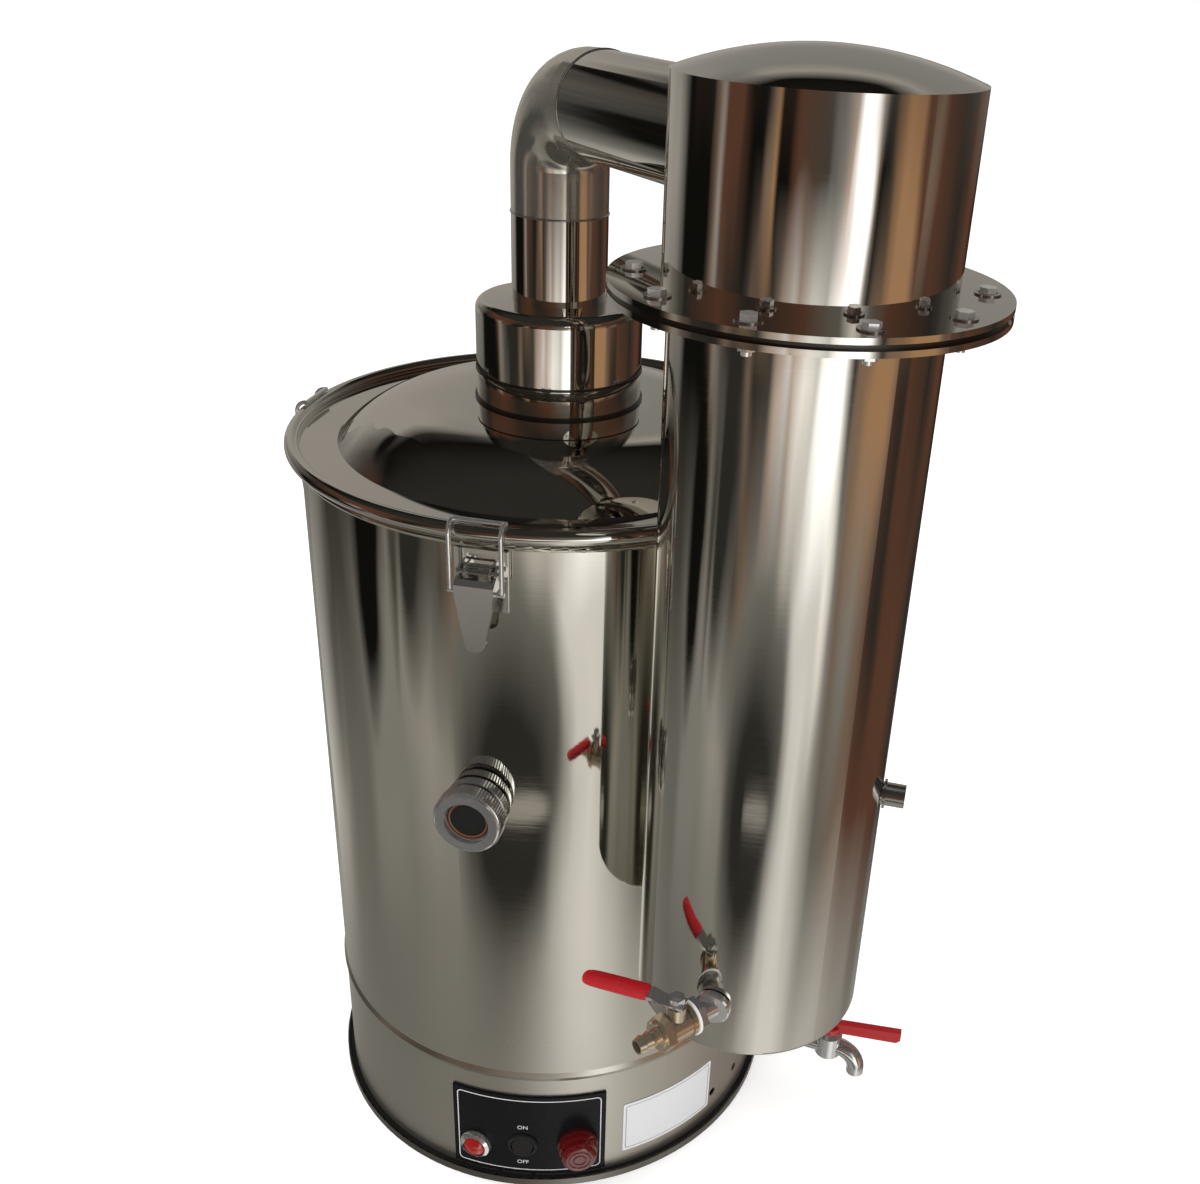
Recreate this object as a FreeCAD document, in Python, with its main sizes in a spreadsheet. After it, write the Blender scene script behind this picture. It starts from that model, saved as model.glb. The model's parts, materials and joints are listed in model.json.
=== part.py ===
import FreeCAD
import Part
import Sketcher
import math
import os

# Upright electric water distiller, in millimetres.
# The boiler drum stands on the floor on its own axis, and the condenser tower hangs beside it
# along +X from the steam pipe. Origin on the drum axis at the floor, +Z up.

SIZES = {
    # Boiler drum and base pan
    "sheet_thick": 1.2,
    "drum_radius": 175.0,
    "drum_top": 540.5,
    "rim_bead": 2.5,
    "swage_rise": 20.0,
    "swage_depth": 1.5,
    "swage_half": 4.0,
    "pan_gap": 4.3,
    "pan_rim_height": 6.5,
    "pan_hem": 0.9,
    "pan_thick": 1.5,
    "seat_gap": 0.1,
    "part_gap": 0.3,
    "turn_gap": 0.4,
    "wall_gap": 0.6,
    "edge_break": 1.0,
    "floor_dish": 8.0,
    "vent_count": 3,
    "vent_radius": 3.5,
    "vent_height": 30.0,
    "vent_angle": 17.7,
    "vent_angle_step": 10.7,
    "screw_hole": 1.8,
    "screw_height": 6.4,
    "screw_angle": -42.8,
    "screw_angle_step": 8.9,
    # Heating elements, probe and contactor
    "heater_count": 3,
    "heater_reach": 85.0,
    "heater_leg": 26.0,
    "heater_bend": 12.0,
    "heater_rise": 62.0,
    "heater_tube": 5.0,
    "heater_tail": 16.0,
    "heater_nut_flats": 17.0,
    "heater_nut_thick": 5.0,
    "probe_radius": 3.0,
    "probe_length": 170.0,
    "probe_reach": 140.0,
    "probe_angle": 200.0,
    "contactor_long": 74.0,
    "contactor_wide": 45.0,
    "contactor_tall": 58.0,
    "contactor_shoulder": 12.0,
    # Lid, its bead and gasket
    "lid_overhang": 5.0,
    "lid_bead_rise": 9.0,
    "lid_bead": 5.0,
    "dome_margin": 25.0,
    "dome_sphere": 760.0,
    "gasket_wide": 6.0,
    "gasket_tall": 2.4,
    # Neck, riser, elbow and crossover pipe
    "neck_radius": 56.0,
    "neck_collar": 17.1,
    "neck_ring": 1.3,
    "neck_tall": 60.1,
    "neck_round": 7.0,
    "neck_lip": 0.6,
    "pipe_radius": 31.75,
    "riser_tall": 55.4,
    "elbow_leg": 28.4,
    "elbow_tail": 12.0,
    "bend_radius": 42.0,
    "pipe_overlap": 8.5,
    # Condenser tower
    "tower_gap": 6.0,
    "shell_radius": 71.0,
    "shell_tall": 446.9,
    "shell_floor_lift": 5.0,
    "cap_margin": 3.5,
    "cap_rise": 39.0,
    "cap_dome": 14.0,
    "flange_wide": 30.5,
    "flange_thick": 3.1,
    "flange_drop": 65.7,
    "flange_gasket_thick": 3.0,
    "flange_gasket_inset": 2.5,
    "sheet_plate_thick": 3.0,
    "upper_plate_drop": 13.6,
    "lower_plate_rise": 15.0,
    "tube_count": 6,
    "tube_radius": 9.5,
    "tube_space": 6.5,
    "tube_overhang": 2.0,
    "bolt_count": 10,
    "bolt_margin": 17.0,
    "bolt_angle": -20.0,
    "bolt_shank": 2.5,
    "bolt_flats": 8.0,
    "bolt_head": 3.5,
    "bolt_end": 6.5,
    "nut_thick": 4.0,
    "bore_gap": 0.25,
    "outlet_pipe": 7.0,
    "outlet_angle": 43.4,
    "outlet_rise": 161.0,
    "outlet_stub": 13.5,
    "outlet_bend": 9.0,
    "standpipe_inset": 12.0,
    "standpipe_drop": 14.0,
    "spout_radius": 6.0,
    "spout_drop": 26.0,
    "spout_reach": 30.0,
    "collar_thick": 1.5,
    "collar_wide": 1.8,
    # Level cup beside the towers and the pipe that fills it
    "cup_angle": 28.0,
    "cup_radius": 25.0,
    "cup_stand": 7.0,
    "cup_tall": 60.0,
    "cup_depth": 28.0,
    "cup_drain_radius": 6.0,
    "cup_drain_offset": 10.0,
    "cup_drain_tail": 26.0,
    "feed_pipe_radius": 8.0,
    "feed_rise": 12.0,
    "return_rise": 24.0,
    "return_radius": 7.0,
    "return_bend": 12.0,
    "return_depth": 6.0,
    # Toggle latches round the lid
    "latch_count": 4,
    "latch_angle": -43.2,
    "plate_half": 16.5,
    "plate_below": 27.0,
    "plate_above": 13.0,
    "plate_thick": 1.5,
    "slot_half": 9.0,
    "slot_rise": 6.0,
    "slot_tall": 4.0,
    "pivot_drop": 16.5,
    "pivot_pin": 1.5,
    "pin_gap": 0.05,
    "ear_half": 8.6,
    "ear_round": 4.0,
    "hook_drop": 10.0,
    "wire_radius": 1.5,
    "wire_gap": 0.5,
    "bail_half": 15.8,
    "bail_wrap": 95.0,
    "lever_half": 12.2,
    "lever_cover": 5.0,
    "shoulder_drop": 4.5,
    "lever_long": 48.0,
    "lever_tip_round": 6.7,
    "lever_heel": 4.1,
    "lever_sheet": 1.5,
    "lever_roof": 0.6,
    # Sight glass
    "sight_angle": -45.3,
    "sight_height": 352.7,
    "sight_bore": 13.0,
    "sight_barrel": 16.0,
    "sight_ring": 20.5,
    "sight_nut": 22.0,
    "sight_ring_long": 8.0,
    "sight_groove": 3.0,
    "sight_nut_long": 12.0,
    "pane_thick": 3.0,
    "seal_thick": 1.5,
    # Drain tap
    "tap_angle": 37.0,
    "tap_drop": 50.0,
    "tap_shank": 7.0,
    "tap_bore": 4.5,
    "tap_flats": 22.0,
    "tap_nut_thick": 7.0,
    "tap_body": 10.0,
    "tap_reach": 70.0,
    "tap_housing": 10.5,
    "tap_housing_top": 15.0,
    "tap_housing_foot": 10.5,
    "tap_plug": 6.0,
    "tap_stem": 3.5,
    "spout_tube": 7.0,
    "spout_bend": 17.0,
    "spout_tail": 4.0,
    "tap_lever_angle": 9.0,
    "tap_lever_long": 57.0,
    "tap_lever_wide": 6.0,
    "tap_lever_tall": 10.5,
    "tap_lever_hub": 8.0,
    "drain_inset": 27.0,
    "drain_bend": 12.0,
    # Water inlet valve on the condenser, which leaves the shell at a slant
    "inlet_contact": -53.6,
    "inlet_angle": -84.5,
    "inlet_rise": 38.1,
    "inlet_pipe": 6.5,
    "inlet_bore": 3.5,
    "inlet_boss": 11.0,
    "inlet_boss_tall": 4.0,
    "inlet_nut_flats": 19.0,
    "inlet_nut_long": 5.0,
    "inlet_reach": 17.0,
    "washer_radius": 10.9,
    "washer_thick": 1.6,
    "valve_radius": 9.2,
    "valve_step": 0.8,
    "valve_flats": 20.0,
    "valve_flats_long": 5.5,
    "valve_long": 24.0,
    "valve_stem_place": 10.5,
    "valve_gland": 6.0,
    "valve_gland_top": 16.0,
    "valve_ball": 5.6,
    "valve_stem": 2.5,
    "barb_radius": 5.0,
    "barb_ridge": 5.8,
    "barb_bore": 3.9,
    "barb_long": 15.0,
    "barb_seat": 4.0,
    "barb_pitch": 5.0,
    "handle_angle": -56.1,
    "handle_long": 57.0,
    "handle_wide": 10.0,
    "handle_thick": 2.0,
    "handle_rise": 2.5,
    "handle_bend_start": 9.0,
    "handle_bend_end": 15.0,
    "grip_start": 18.0,
    "grip_wide": 14.0,
    "grip_thick": 6.0,
    "handle_nut_flats": 8.5,
    "handle_nut_thick": 4.0,
    # Control panel
    "panel_angle": -35.15,
    "panel_span": 38.3,
    "panel_rise": 2.3,
    "panel_tall": 81.2,
    "panel_thick": 1.5,
    "lamp_angle": -48.4,
    "lamp_rise": 25.0,
    "lamp_bezel": 12.2,
    "lamp_lens": 8.6,
    "lamp_barrel": 8.0,
    "switch_angle": -36.5,
    "switch_rise": 31.0,
    "switch_bezel": 11.5,
    "switch_bore": 9.2,
    "rocker_radius": 8.1,
    "rocker_thick": 5.0,
    "rocker_tilt": 7.0,
    "rocker_pin": 1.2,
    "alarm_angle": -23.0,
    "alarm_rise": 32.5,
    "alarm_body": 15.5,
    "alarm_lens": 13.5,
    "alarm_barrel": 9.0,
    "alarm_tall": 17.0,
    "barrel_depth": 22.0,
}

doc = FreeCAD.newDocument("water_distiller")
sheet = doc.addObject("Spreadsheet::Sheet", "Sizes")
for row, (alias, number) in enumerate(SIZES.items(), start=1):
    sheet.set(f"A{row}", alias)
    sheet.set(f"B{row}", str(number))
    sheet.setAlias(f"B{row}", alias)
doc.recompute()


class Size:
    """A length, angle or count together with the sheet formula that it comes from."""

    def __init__(self, value, formula):
        self.value = float(value)
        self.formula = formula

    def __add__(self, other):
        other = as_size(other)
        return Size(self.value + other.value, f"({self.formula} + {other.formula})")

    def __radd__(self, other):
        return as_size(other) + self

    def __sub__(self, other):
        other = as_size(other)
        return Size(self.value - other.value, f"({self.formula} - {other.formula})")

    def __rsub__(self, other):
        return as_size(other) - self

    def __mul__(self, other):
        other = as_size(other)
        return Size(self.value * other.value, f"({self.formula} * {other.formula})")

    def __rmul__(self, other):
        return as_size(other) * self

    def __truediv__(self, other):
        other = as_size(other)
        return Size(self.value / other.value, f"({self.formula} / {other.formula})")

    def __neg__(self):
        return Size(-self.value, f"(-1 * {self.formula})")


def as_size(item):
    if isinstance(item, Size):
        return item
    return Size(item, str(float(item)))


def root(size):
    return Size(math.sqrt(size.value), f"sqrt({size.formula})")


def cosine(angle):
    angle = as_size(angle)
    return Size(math.cos(math.radians(angle.value)), f"cos({angle.formula} * 1 deg)")


def sine(angle):
    angle = as_size(angle)
    return Size(math.sin(math.radians(angle.value)), f"sin({angle.formula} * 1 deg)")


def arctangent(ratio):
    return Size(math.degrees(math.atan(ratio.value)), f"(atan({ratio.formula}) / 1 deg)")


def from_sheet(alias):
    return Size(sheet.get(alias), f"Sizes.{alias}")


class Named:
    """The driving sizes by name, each read from its cell."""

    def __getattr__(self, alias):
        return from_sheet(alias)


S = Named()

# Sizes that follow from the driving ones, from the floor upwards and then outwards

DRUM_FOOT = S.pan_thick + S.seat_gap
PAN_RADIUS = S.drum_radius + S.pan_gap + S.sheet_thick
PANEL_BOTTOM = S.pan_rim_height + S.panel_rise
PANEL_TOP = PANEL_BOTTOM + S.panel_tall
LAMP_HEIGHT = PANEL_BOTTOM + S.lamp_rise
SWITCH_HEIGHT = PANEL_BOTTOM + S.switch_rise
ALARM_HEIGHT = PANEL_BOTTOM + S.alarm_rise
SWAGE_HEIGHT = PANEL_TOP + S.swage_rise
TAP_HEIGHT = SWAGE_HEIGHT - S.tap_drop
TAP_STEM_REACH = S.drum_radius + S.tap_reach
DRAIN_REACH = S.drum_radius - S.drain_inset

LID_SHELF = S.drum_top + S.rim_bead + S.part_gap + S.gasket_tall + S.seat_gap + S.sheet_thick
LID_BEAD_REACH = S.drum_radius + S.lid_overhang
LID_BEAD_HEIGHT = S.drum_top + S.lid_bead_rise
DOME_EDGE = S.drum_radius - S.dome_margin
DOME_CENTRE = LID_SHELF - root(S.dome_sphere * S.dome_sphere - DOME_EDGE * DOME_EDGE)
LID_CROWN = DOME_CENTRE + root(S.dome_sphere * S.dome_sphere - S.neck_radius * S.neck_radius)
NECK_JOINT = LID_CROWN + S.neck_collar
NECK_SHOULDER = NECK_JOINT + S.neck_tall
NECK_TOP = NECK_SHOULDER + S.neck_round + S.neck_lip
RISER_TOP = NECK_TOP + S.riser_tall
CROSSOVER_HEIGHT = RISER_TOP + S.elbow_leg + S.bend_radius
ELBOW_END = S.bend_radius + S.elbow_tail

TOWER = LID_BEAD_REACH + S.lid_bead + S.tower_gap + S.shell_radius
CAP_RADIUS = S.shell_radius + S.cap_margin
PIPE_ENTRY = CAP_RADIUS - S.pipe_overlap
CAP_RIM = CROSSOVER_HEIGHT + S.cap_rise
FLANGE_BASE = CROSSOVER_HEIGHT - S.flange_drop
FLANGE_RADIUS = S.shell_radius + S.flange_wide
BOLT_REACH = S.shell_radius + S.bolt_margin
SHELL_BOTTOM = FLANGE_BASE - S.shell_tall
UPPER_PLATE_HEIGHT = FLANGE_BASE - S.upper_plate_drop
LOWER_PLATE_HEIGHT = SHELL_BOTTOM + S.lower_plate_rise
OUTLET_HEIGHT = SHELL_BOTTOM + S.outlet_rise
OUTLET_REACH = S.shell_radius + S.outlet_stub
STANDPIPE_REACH = S.shell_radius - S.standpipe_inset
STANDPIPE_TOP = UPPER_PLATE_HEIGHT - S.standpipe_drop
TUBE_PITCH = STANDPIPE_REACH - S.outlet_pipe - S.tube_radius - S.tube_space

WATER_LEVEL = S.sight_height
CUP_REACH = S.drum_radius + S.cup_stand + S.cup_radius
CUP_BOTTOM = WATER_LEVEL - S.cup_depth
CUP_TOP = CUP_BOTTOM + S.cup_tall
CUP_DRAIN_END = CUP_BOTTOM - S.cup_drain_tail
FEED_HEIGHT = CUP_BOTTOM + S.feed_rise
RETURN_DIP = CUP_TOP - S.return_depth
RETURN_HEIGHT = RETURN_DIP + S.return_rise

PIVOT_REACH = S.drum_radius + S.seat_gap + S.plate_thick + S.part_gap + S.lever_heel
PIVOT_HEIGHT = S.drum_top - S.pivot_drop
PLATE_BOTTOM = PIVOT_HEIGHT - S.plate_below
PLATE_TOP = PIVOT_HEIGHT + S.plate_above
SLOT_BOTTOM = PIVOT_HEIGHT + S.slot_rise
SLOT_TOP = SLOT_BOTTOM + S.slot_tall
HOOK_REACH = LID_BEAD_REACH + S.lid_bead + S.wire_gap + S.wire_radius
HOOK_HEIGHT = PIVOT_HEIGHT - S.hook_drop
LEVER_FRONT = HOOK_REACH + S.lever_cover
LEVER_SHOULDER = PIVOT_HEIGHT - S.shoulder_drop
LEVER_TAPER = LEVER_SHOULDER - 3 * S.lever_sheet
LEVER_TIP = PIVOT_HEIGHT - S.lever_long

INLET_HEIGHT = SHELL_BOTTOM + S.inlet_rise
INLET_SIDE = S.shell_radius * sine(S.inlet_contact - S.inlet_angle)
INLET_START = S.shell_radius * cosine(S.inlet_contact - S.inlet_angle)
INLET_NUT_END = INLET_START + S.inlet_reach
INLET_NUT_START = INLET_NUT_END - S.inlet_nut_long
VALVE_START = INLET_NUT_END + S.washer_thick
VALVE_STEM_REACH = VALVE_START + S.valve_stem_place
VALVE_END = VALVE_START + S.valve_long
BARB_END = VALVE_END + S.barb_long
HANDLE_LOW = S.valve_gland_top + S.turn_gap


class Bend:
    """A round stretch of an outline about a centre, turning left or right as it is drawn."""

    def __init__(self, x, y, left=True):
        self.x = as_size(x)
        self.y = as_size(y)
        self.left = left


# Small tools for bodies, sketches and features

def new_body(label):
    part = doc.addObject("PartDesign::Body", label)
    part.Label = label
    return part


def new_sketch(part, plane, offset=None):
    drawing = part.newObject("Sketcher::SketchObject", part.Label + "_sketch")
    support = [item for item in part.Origin.OriginFeatures if item.Role == plane][0]
    drawing.AttachmentSupport = (support, "")
    drawing.MapMode = "FlatFace"
    if offset is not None:
        drawing.setExpression("AttachmentOffset.Base.z", as_size(offset).formula)
    return drawing


def pin(drawing, geometry, point, x=None, y=None):
    """Ties one point of a sketch to the sketch's origin by named sizes."""
    for kind, size, axis in (("DistanceX", x, -2), ("DistanceY", y, -1)):
        if size is None:
            continue
        size = as_size(size)
        if abs(size.value) < 1e-9:
            drawing.addConstraint(Sketcher.Constraint("PointOnObject", geometry, point, axis))
            continue
        number = drawing.addConstraint(Sketcher.Constraint(kind, -1, 1, geometry, point, size.value))
        drawing.setExpression(f"Constraints[{number}]", size.formula)


def draw(drawing, path, closed=True):
    """Draws an outline of straight and round stretches with every corner tied to the sheet."""
    corners = []
    bends = {}
    for item in path:
        if isinstance(item, Bend):
            bends[len(corners) - 1] = item
        else:
            corners.append((as_size(item[0]), as_size(item[1])))
    count = len(corners)
    stretches = []
    for start in range(count if closed else count - 1):
        first = corners[start]
        last = corners[(start + 1) % count]
        bend = bends.get(start)
        if bend is None:
            line = Part.LineSegment(point_at(first), point_at(last))
            stretches.append((drawing.addGeometry(line, False), 1, 2))
            continue
        centre = point_at((bend.x, bend.y))
        radius = (point_at(first) - centre).Length
        circle = Part.Circle(centre, FreeCAD.Vector(0, 0, 1), radius)
        angles = [math.atan2(end[1].value - bend.y.value, end[0].value - bend.x.value)
                  for end in (first, last)]
        if bend.left:
            arc = Part.ArcOfCircle(circle, angles[0], angles[1])
            stretches.append((drawing.addGeometry(arc, False), 1, 2))
        else:
            arc = Part.ArcOfCircle(circle, angles[1], angles[0])
            stretches.append((drawing.addGeometry(arc, False), 2, 1))
        pin(drawing, stretches[-1][0], 3, bend.x, bend.y)
    for start, (geometry, _, end) in enumerate(stretches):
        if start + 1 < len(stretches) or closed:
            following = stretches[(start + 1) % len(stretches)]
            drawing.addConstraint(Sketcher.Constraint("Coincident", geometry, end,
                                                      following[0], following[1]))
    for start in range(count):
        before = bends.get((start - 1) % count) if closed or start else None
        if start < len(stretches):
            geometry, point = stretches[start][0], stretches[start][1]
        else:
            geometry, point = stretches[-1][0], stretches[-1][2]
        x, y = corners[start]
        if before is not None:
            across = abs(x.value - before.x.value) < abs(y.value - before.y.value)
            pin(drawing, geometry, point, x if across else None, None if across else y)
        else:
            pin(drawing, geometry, point, x, y)


def point_at(corner):
    return FreeCAD.Vector(corner[0].value, corner[1].value, 0)


def draw_circle(drawing, x, y, radius):
    radius = as_size(radius)
    x = as_size(x)
    y = as_size(y)
    circle = Part.Circle(point_at((x, y)), FreeCAD.Vector(0, 0, 1), radius.value)
    geometry = drawing.addGeometry(circle, False)
    pin(drawing, geometry, 3, x, y)
    number = drawing.addConstraint(Sketcher.Constraint("Radius", geometry, radius.value))
    drawing.setExpression(f"Constraints[{number}]", radius.formula)


def draw_hexagon(drawing, x, y, flats):
    reach = flats / math.sqrt(3)
    draw(drawing, [(x + reach * math.cos(math.radians(60 * k)), y + reach * math.sin(math.radians(60 * k)))
                   for k in range(6)])


def draw_box(drawing, low_x, low_y, high_x, high_y):
    draw(drawing, [(low_x, low_y), (high_x, low_y), (high_x, high_y), (low_x, high_y)])


def turn(part, drawing, about="V_Axis", angle=360.0, middle=False):
    feature = part.newObject("PartDesign::Revolution", part.Label + "_turn")
    feature.Profile = drawing
    feature.ReferenceAxis = (drawing, [about])
    if isinstance(angle, Size):
        feature.setExpression("Angle", angle.formula + " * 1 deg")
    feature.Angle = as_size(angle).value
    feature.Midplane = middle
    return feature


def raise_up(part, drawing, length, middle=False, reverse=False):
    feature = part.newObject("PartDesign::Pad", part.Label + "_pad")
    feature.Profile = drawing
    feature.setExpression("Length", as_size(length).formula)
    feature.Midplane = middle
    feature.Reversed = reverse
    return feature


def cut_through(part, drawing, middle=False, reverse=False):
    feature = part.newObject("PartDesign::Pocket", part.Label + "_cut")
    feature.Profile = drawing
    feature.Type = 1
    feature.Midplane = middle
    feature.Reversed = reverse
    return feature


def cut_deep(part, drawing, length, middle=False, reverse=False):
    feature = part.newObject("PartDesign::Pocket", part.Label + "_recess")
    feature.Profile = drawing
    feature.Type = 0
    feature.setExpression("Length", as_size(length).formula)
    feature.Midplane = middle
    feature.Reversed = reverse
    return feature


def sweep(part, profile, path):
    feature = part.newObject("PartDesign::AdditivePipe", part.Label + "_sweep")
    feature.Profile = profile
    feature.Spine = (path, [f"Edge{k + 1}" for k in range(path.GeometryCount)])
    return feature


def repeat(part, features, count):
    """Repeats features evenly round the upright axis of the body."""
    pattern = part.newObject("PartDesign::PolarPattern", part.Label + "_pattern")
    pattern.Originals = features
    upright = [item for item in part.Origin.OriginFeatures if item.Role == "Z_Axis"][0]
    pattern.Axis = (upright, [""])
    pattern.Angle = 360
    pattern.setExpression("Occurrences", as_size(count).formula)
    part.Tip = pattern
    return pattern


def share(whole, number, count):
    """The angle of one of several pieces set evenly round a whole turn."""
    return as_size(whole) / count * number


def place(part, x=0.0, y=0.0, z=0.0, angle=0.0):
    x, y, z, angle = (as_size(item) for item in (x, y, z, angle))
    upright = FreeCAD.Rotation(FreeCAD.Vector(0, 0, 1), angle.value)
    part.Placement = FreeCAD.Placement(FreeCAD.Vector(x.value, y.value, z.value), upright)
    part.setExpression("Placement.Base.x", x.formula)
    part.setExpression("Placement.Base.y", y.formula)
    part.setExpression("Placement.Base.z", z.formula)
    if abs(angle.value) > 1e-9:
        part.setExpression("Placement.Rotation.Angle", angle.formula + " * 1 deg")
    return part


def turned(label, path, x=0.0, y=0.0, z=0.0, angle=0.0):
    """A piece turned about an upright axis; path holds radius and height."""
    part = new_body(label)
    drawing = new_sketch(part, "XZ_Plane")
    draw(drawing, path)
    turn(part, drawing)
    return place(part, x, y, z, angle)


def turned_radial(label, path, tower, height, angle, side=0.0):
    """A piece turned about a level axis that points out of a tower; path holds reach and radius.

    An axis with a side misses the centre of the tower by that much."""
    part = new_body(label)
    drawing = new_sketch(part, "XZ_Plane")
    draw(drawing, path)
    turn(part, drawing, "H_Axis")
    return place_beside(part, tower, height, angle, side)


def place_beside(part, tower, height, angle, side=0.0):
    return place(part, tower - side * sine(angle), side * cosine(angle), height, angle)


def drill(label, radius, start, end, tower, height, angle, side=0.0):
    return turned_radial(label, [(start, 0), (end, 0), (end, radius), (start, radius)],
                         tower, height, angle, side)


def cut_away(label, base, tools):
    """The base piece less all of its tools."""
    tool = tools[0]
    if len(tools) > 1:
        tool = doc.addObject("Part::MultiFuse", label + "_tools")
        tool.Shapes = tools
    result = doc.addObject("Part::Cut", label)
    result.Base = base
    result.Tool = tool
    result.Label = label
    return result


def join(label, pieces):
    result = doc.addObject("Part::MultiFuse", label)
    result.Shapes = pieces
    result.Label = label
    return result


def group(label, pieces):
    """Separate solids that share a node."""
    result = doc.addObject("Part::Compound", label)
    result.Links = pieces
    result.Label = label
    return result


def ring_path(inner, outer, low, high):
    return [(inner, low), (outer, low), (outer, high), (inner, high)]


def bent_pipe(label, start, corner_radius, end, outer, wall, vertical_first):
    """A tube with one upright and one level leg in the plane of a radius."""
    part = new_body(label)
    path = new_sketch(part, "XZ_Plane")
    (x0, z0), (x1, z1) = start, end
    level = 1 if x1.value > x0.value else -1
    upright = 1 if z1.value > z0.value else -1
    if vertical_first:
        draw(path, [(x0, z0), (x0, z1 - upright * corner_radius),
                    Bend(x0 + level * corner_radius, z1 - upright * corner_radius,
                         left=level * upright < 0),
                    (x0 + level * corner_radius, z1), (x1, z1)], closed=False)
        profile = new_sketch(part, "XY_Plane", z0)
        draw_circle(profile, x0, 0, outer)
        draw_circle(profile, x0, 0, outer - wall)
    else:
        draw(path, [(x0, z0), (x1 - level * corner_radius, z0),
                    Bend(x1 - level * corner_radius, z0 + upright * corner_radius,
                         left=level * upright > 0),
                    (x1, z0 + upright * corner_radius), (x1, z1)], closed=False)
        profile = new_sketch(part, "YZ_Plane", x0)
        draw_circle(profile, 0, z0, outer)
        draw_circle(profile, 0, z0, outer - wall)
    sweep(part, profile, path)
    return part


nodes = []


def keep(piece):
    nodes.append(piece)
    return piece


BOILER = as_size(0.0)
INLET_PLACE = (TOWER, INLET_HEIGHT, S.inlet_angle, INLET_SIDE)


# Base pan with an upstanding rim, which stands a little way off the drum

def base_pan():
    part = new_body("base_pan")
    inner = PAN_RADIUS - S.sheet_thick
    drawing = new_sketch(part, "XZ_Plane")
    draw(drawing, [(0, 0), (PAN_RADIUS, 0), (PAN_RADIUS, S.pan_rim_height),
                   (inner, S.pan_rim_height), (inner, S.pan_thick), (0, S.pan_thick)])
    turn(part, drawing)
    hem = new_sketch(part, "XZ_Plane")
    draw_circle(hem, PAN_RADIUS - S.pan_hem, S.pan_rim_height - S.pan_hem / 2, S.pan_hem)
    turn(part, hem)
    return place(part)


# Boiler wall: one rolled sheet with a swage that carries the boiler floor and a beaded rim

def boiler_wall():
    part = new_body("boiler_skin")
    inner = S.drum_radius - S.sheet_thick
    low = SWAGE_HEIGHT - S.swage_half
    high = SWAGE_HEIGHT + S.swage_half
    drawing = new_sketch(part, "XZ_Plane")
    draw(drawing, [(inner, DRUM_FOOT), (S.drum_radius, DRUM_FOOT), (S.drum_radius, low),
                   (S.drum_radius + S.swage_depth, SWAGE_HEIGHT), (S.drum_radius, high),
                   (S.drum_radius, S.drum_top), (inner, S.drum_top), (inner, high),
                   (inner + S.swage_depth, SWAGE_HEIGHT), (inner, low)])
    turn(part, drawing)
    bead = new_sketch(part, "XZ_Plane")
    draw_circle(bead, S.drum_radius + S.sheet_thick, S.drum_top, S.rim_bead)
    turn(part, bead)
    place(part)
    start = S.drum_radius - 4 * S.sheet_thick
    end = S.drum_radius + 4 * S.sheet_thick
    holes = [
        ("sight_hole", S.sight_barrel + S.seat_gap, S.sight_height, S.sight_angle),
        ("feed_hole", S.feed_pipe_radius + S.seat_gap, FEED_HEIGHT, S.cup_angle),
        ("tap_hole", S.tap_shank + S.seat_gap, TAP_HEIGHT, S.tap_angle),
        ("lamp_hole", S.lamp_barrel + S.seat_gap, LAMP_HEIGHT, S.lamp_angle),
        ("switch_hole", S.switch_bore + S.sheet_thick + S.seat_gap, SWITCH_HEIGHT, S.switch_angle),
        ("alarm_hole", S.alarm_barrel + S.seat_gap, ALARM_HEIGHT, S.alarm_angle),
        ("screw_hole_left", S.screw_hole, S.screw_height, S.screw_angle),
        ("screw_hole_right", S.screw_hole, S.screw_height, S.screw_angle + S.screw_angle_step),
    ]
    tools = [drill(name, radius, start, end, BOILER, height, angle)
             for name, radius, height, angle in holes]
    for k in range(int(S.vent_count.value)):
        tools.append(drill(f"vent_{k}", S.vent_radius, start, end, BOILER, S.vent_height,
                           S.vent_angle + k * S.vent_angle_step))
    return cut_away("boiler_wall", part, tools)


# Boiler floor: a dished plate with a turned-down skirt inside the swage

def boiler_floor():
    outer = S.drum_radius - S.sheet_thick - S.seat_gap
    top = SWAGE_HEIGHT
    sag = top - S.floor_dish
    skirt = top - 2.5 * S.swage_half
    plate = turned("floor_plate", [(0, sag - S.sheet_thick), (DRAIN_REACH + S.tap_shank, sag - S.sheet_thick),
                                   (outer - S.sheet_thick, top - S.sheet_thick),
                                   (outer - S.sheet_thick, skirt), (outer, skirt), (outer, top),
                                   (DRAIN_REACH + S.tap_shank, sag), (0, sag)])
    tools = [place(floor_drill("drain_port", S.tap_shank + S.seat_gap, DRAIN_REACH), angle=S.tap_angle)]
    for k in range(int(S.heater_count.value)):
        for side in (-1, 1):
            hole = floor_drill(f"heater_port_{k}_{side}", S.heater_tube + S.seat_gap,
                               S.heater_reach, side * S.heater_leg)
            tools.append(place(hole, angle=share(360, k, S.heater_count)))
    return cut_away("boiler_floor", plate, tools)


def floor_drill(label, radius, x, y=0.0):
    part = new_body(label)
    drawing = new_sketch(part, "XY_Plane", SWAGE_HEIGHT - 4 * S.floor_dish)
    draw_circle(drawing, x, y, radius)
    raise_up(part, drawing, 6 * S.floor_dish)
    return part


# Hairpin heating elements, their legs through the floor

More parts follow.
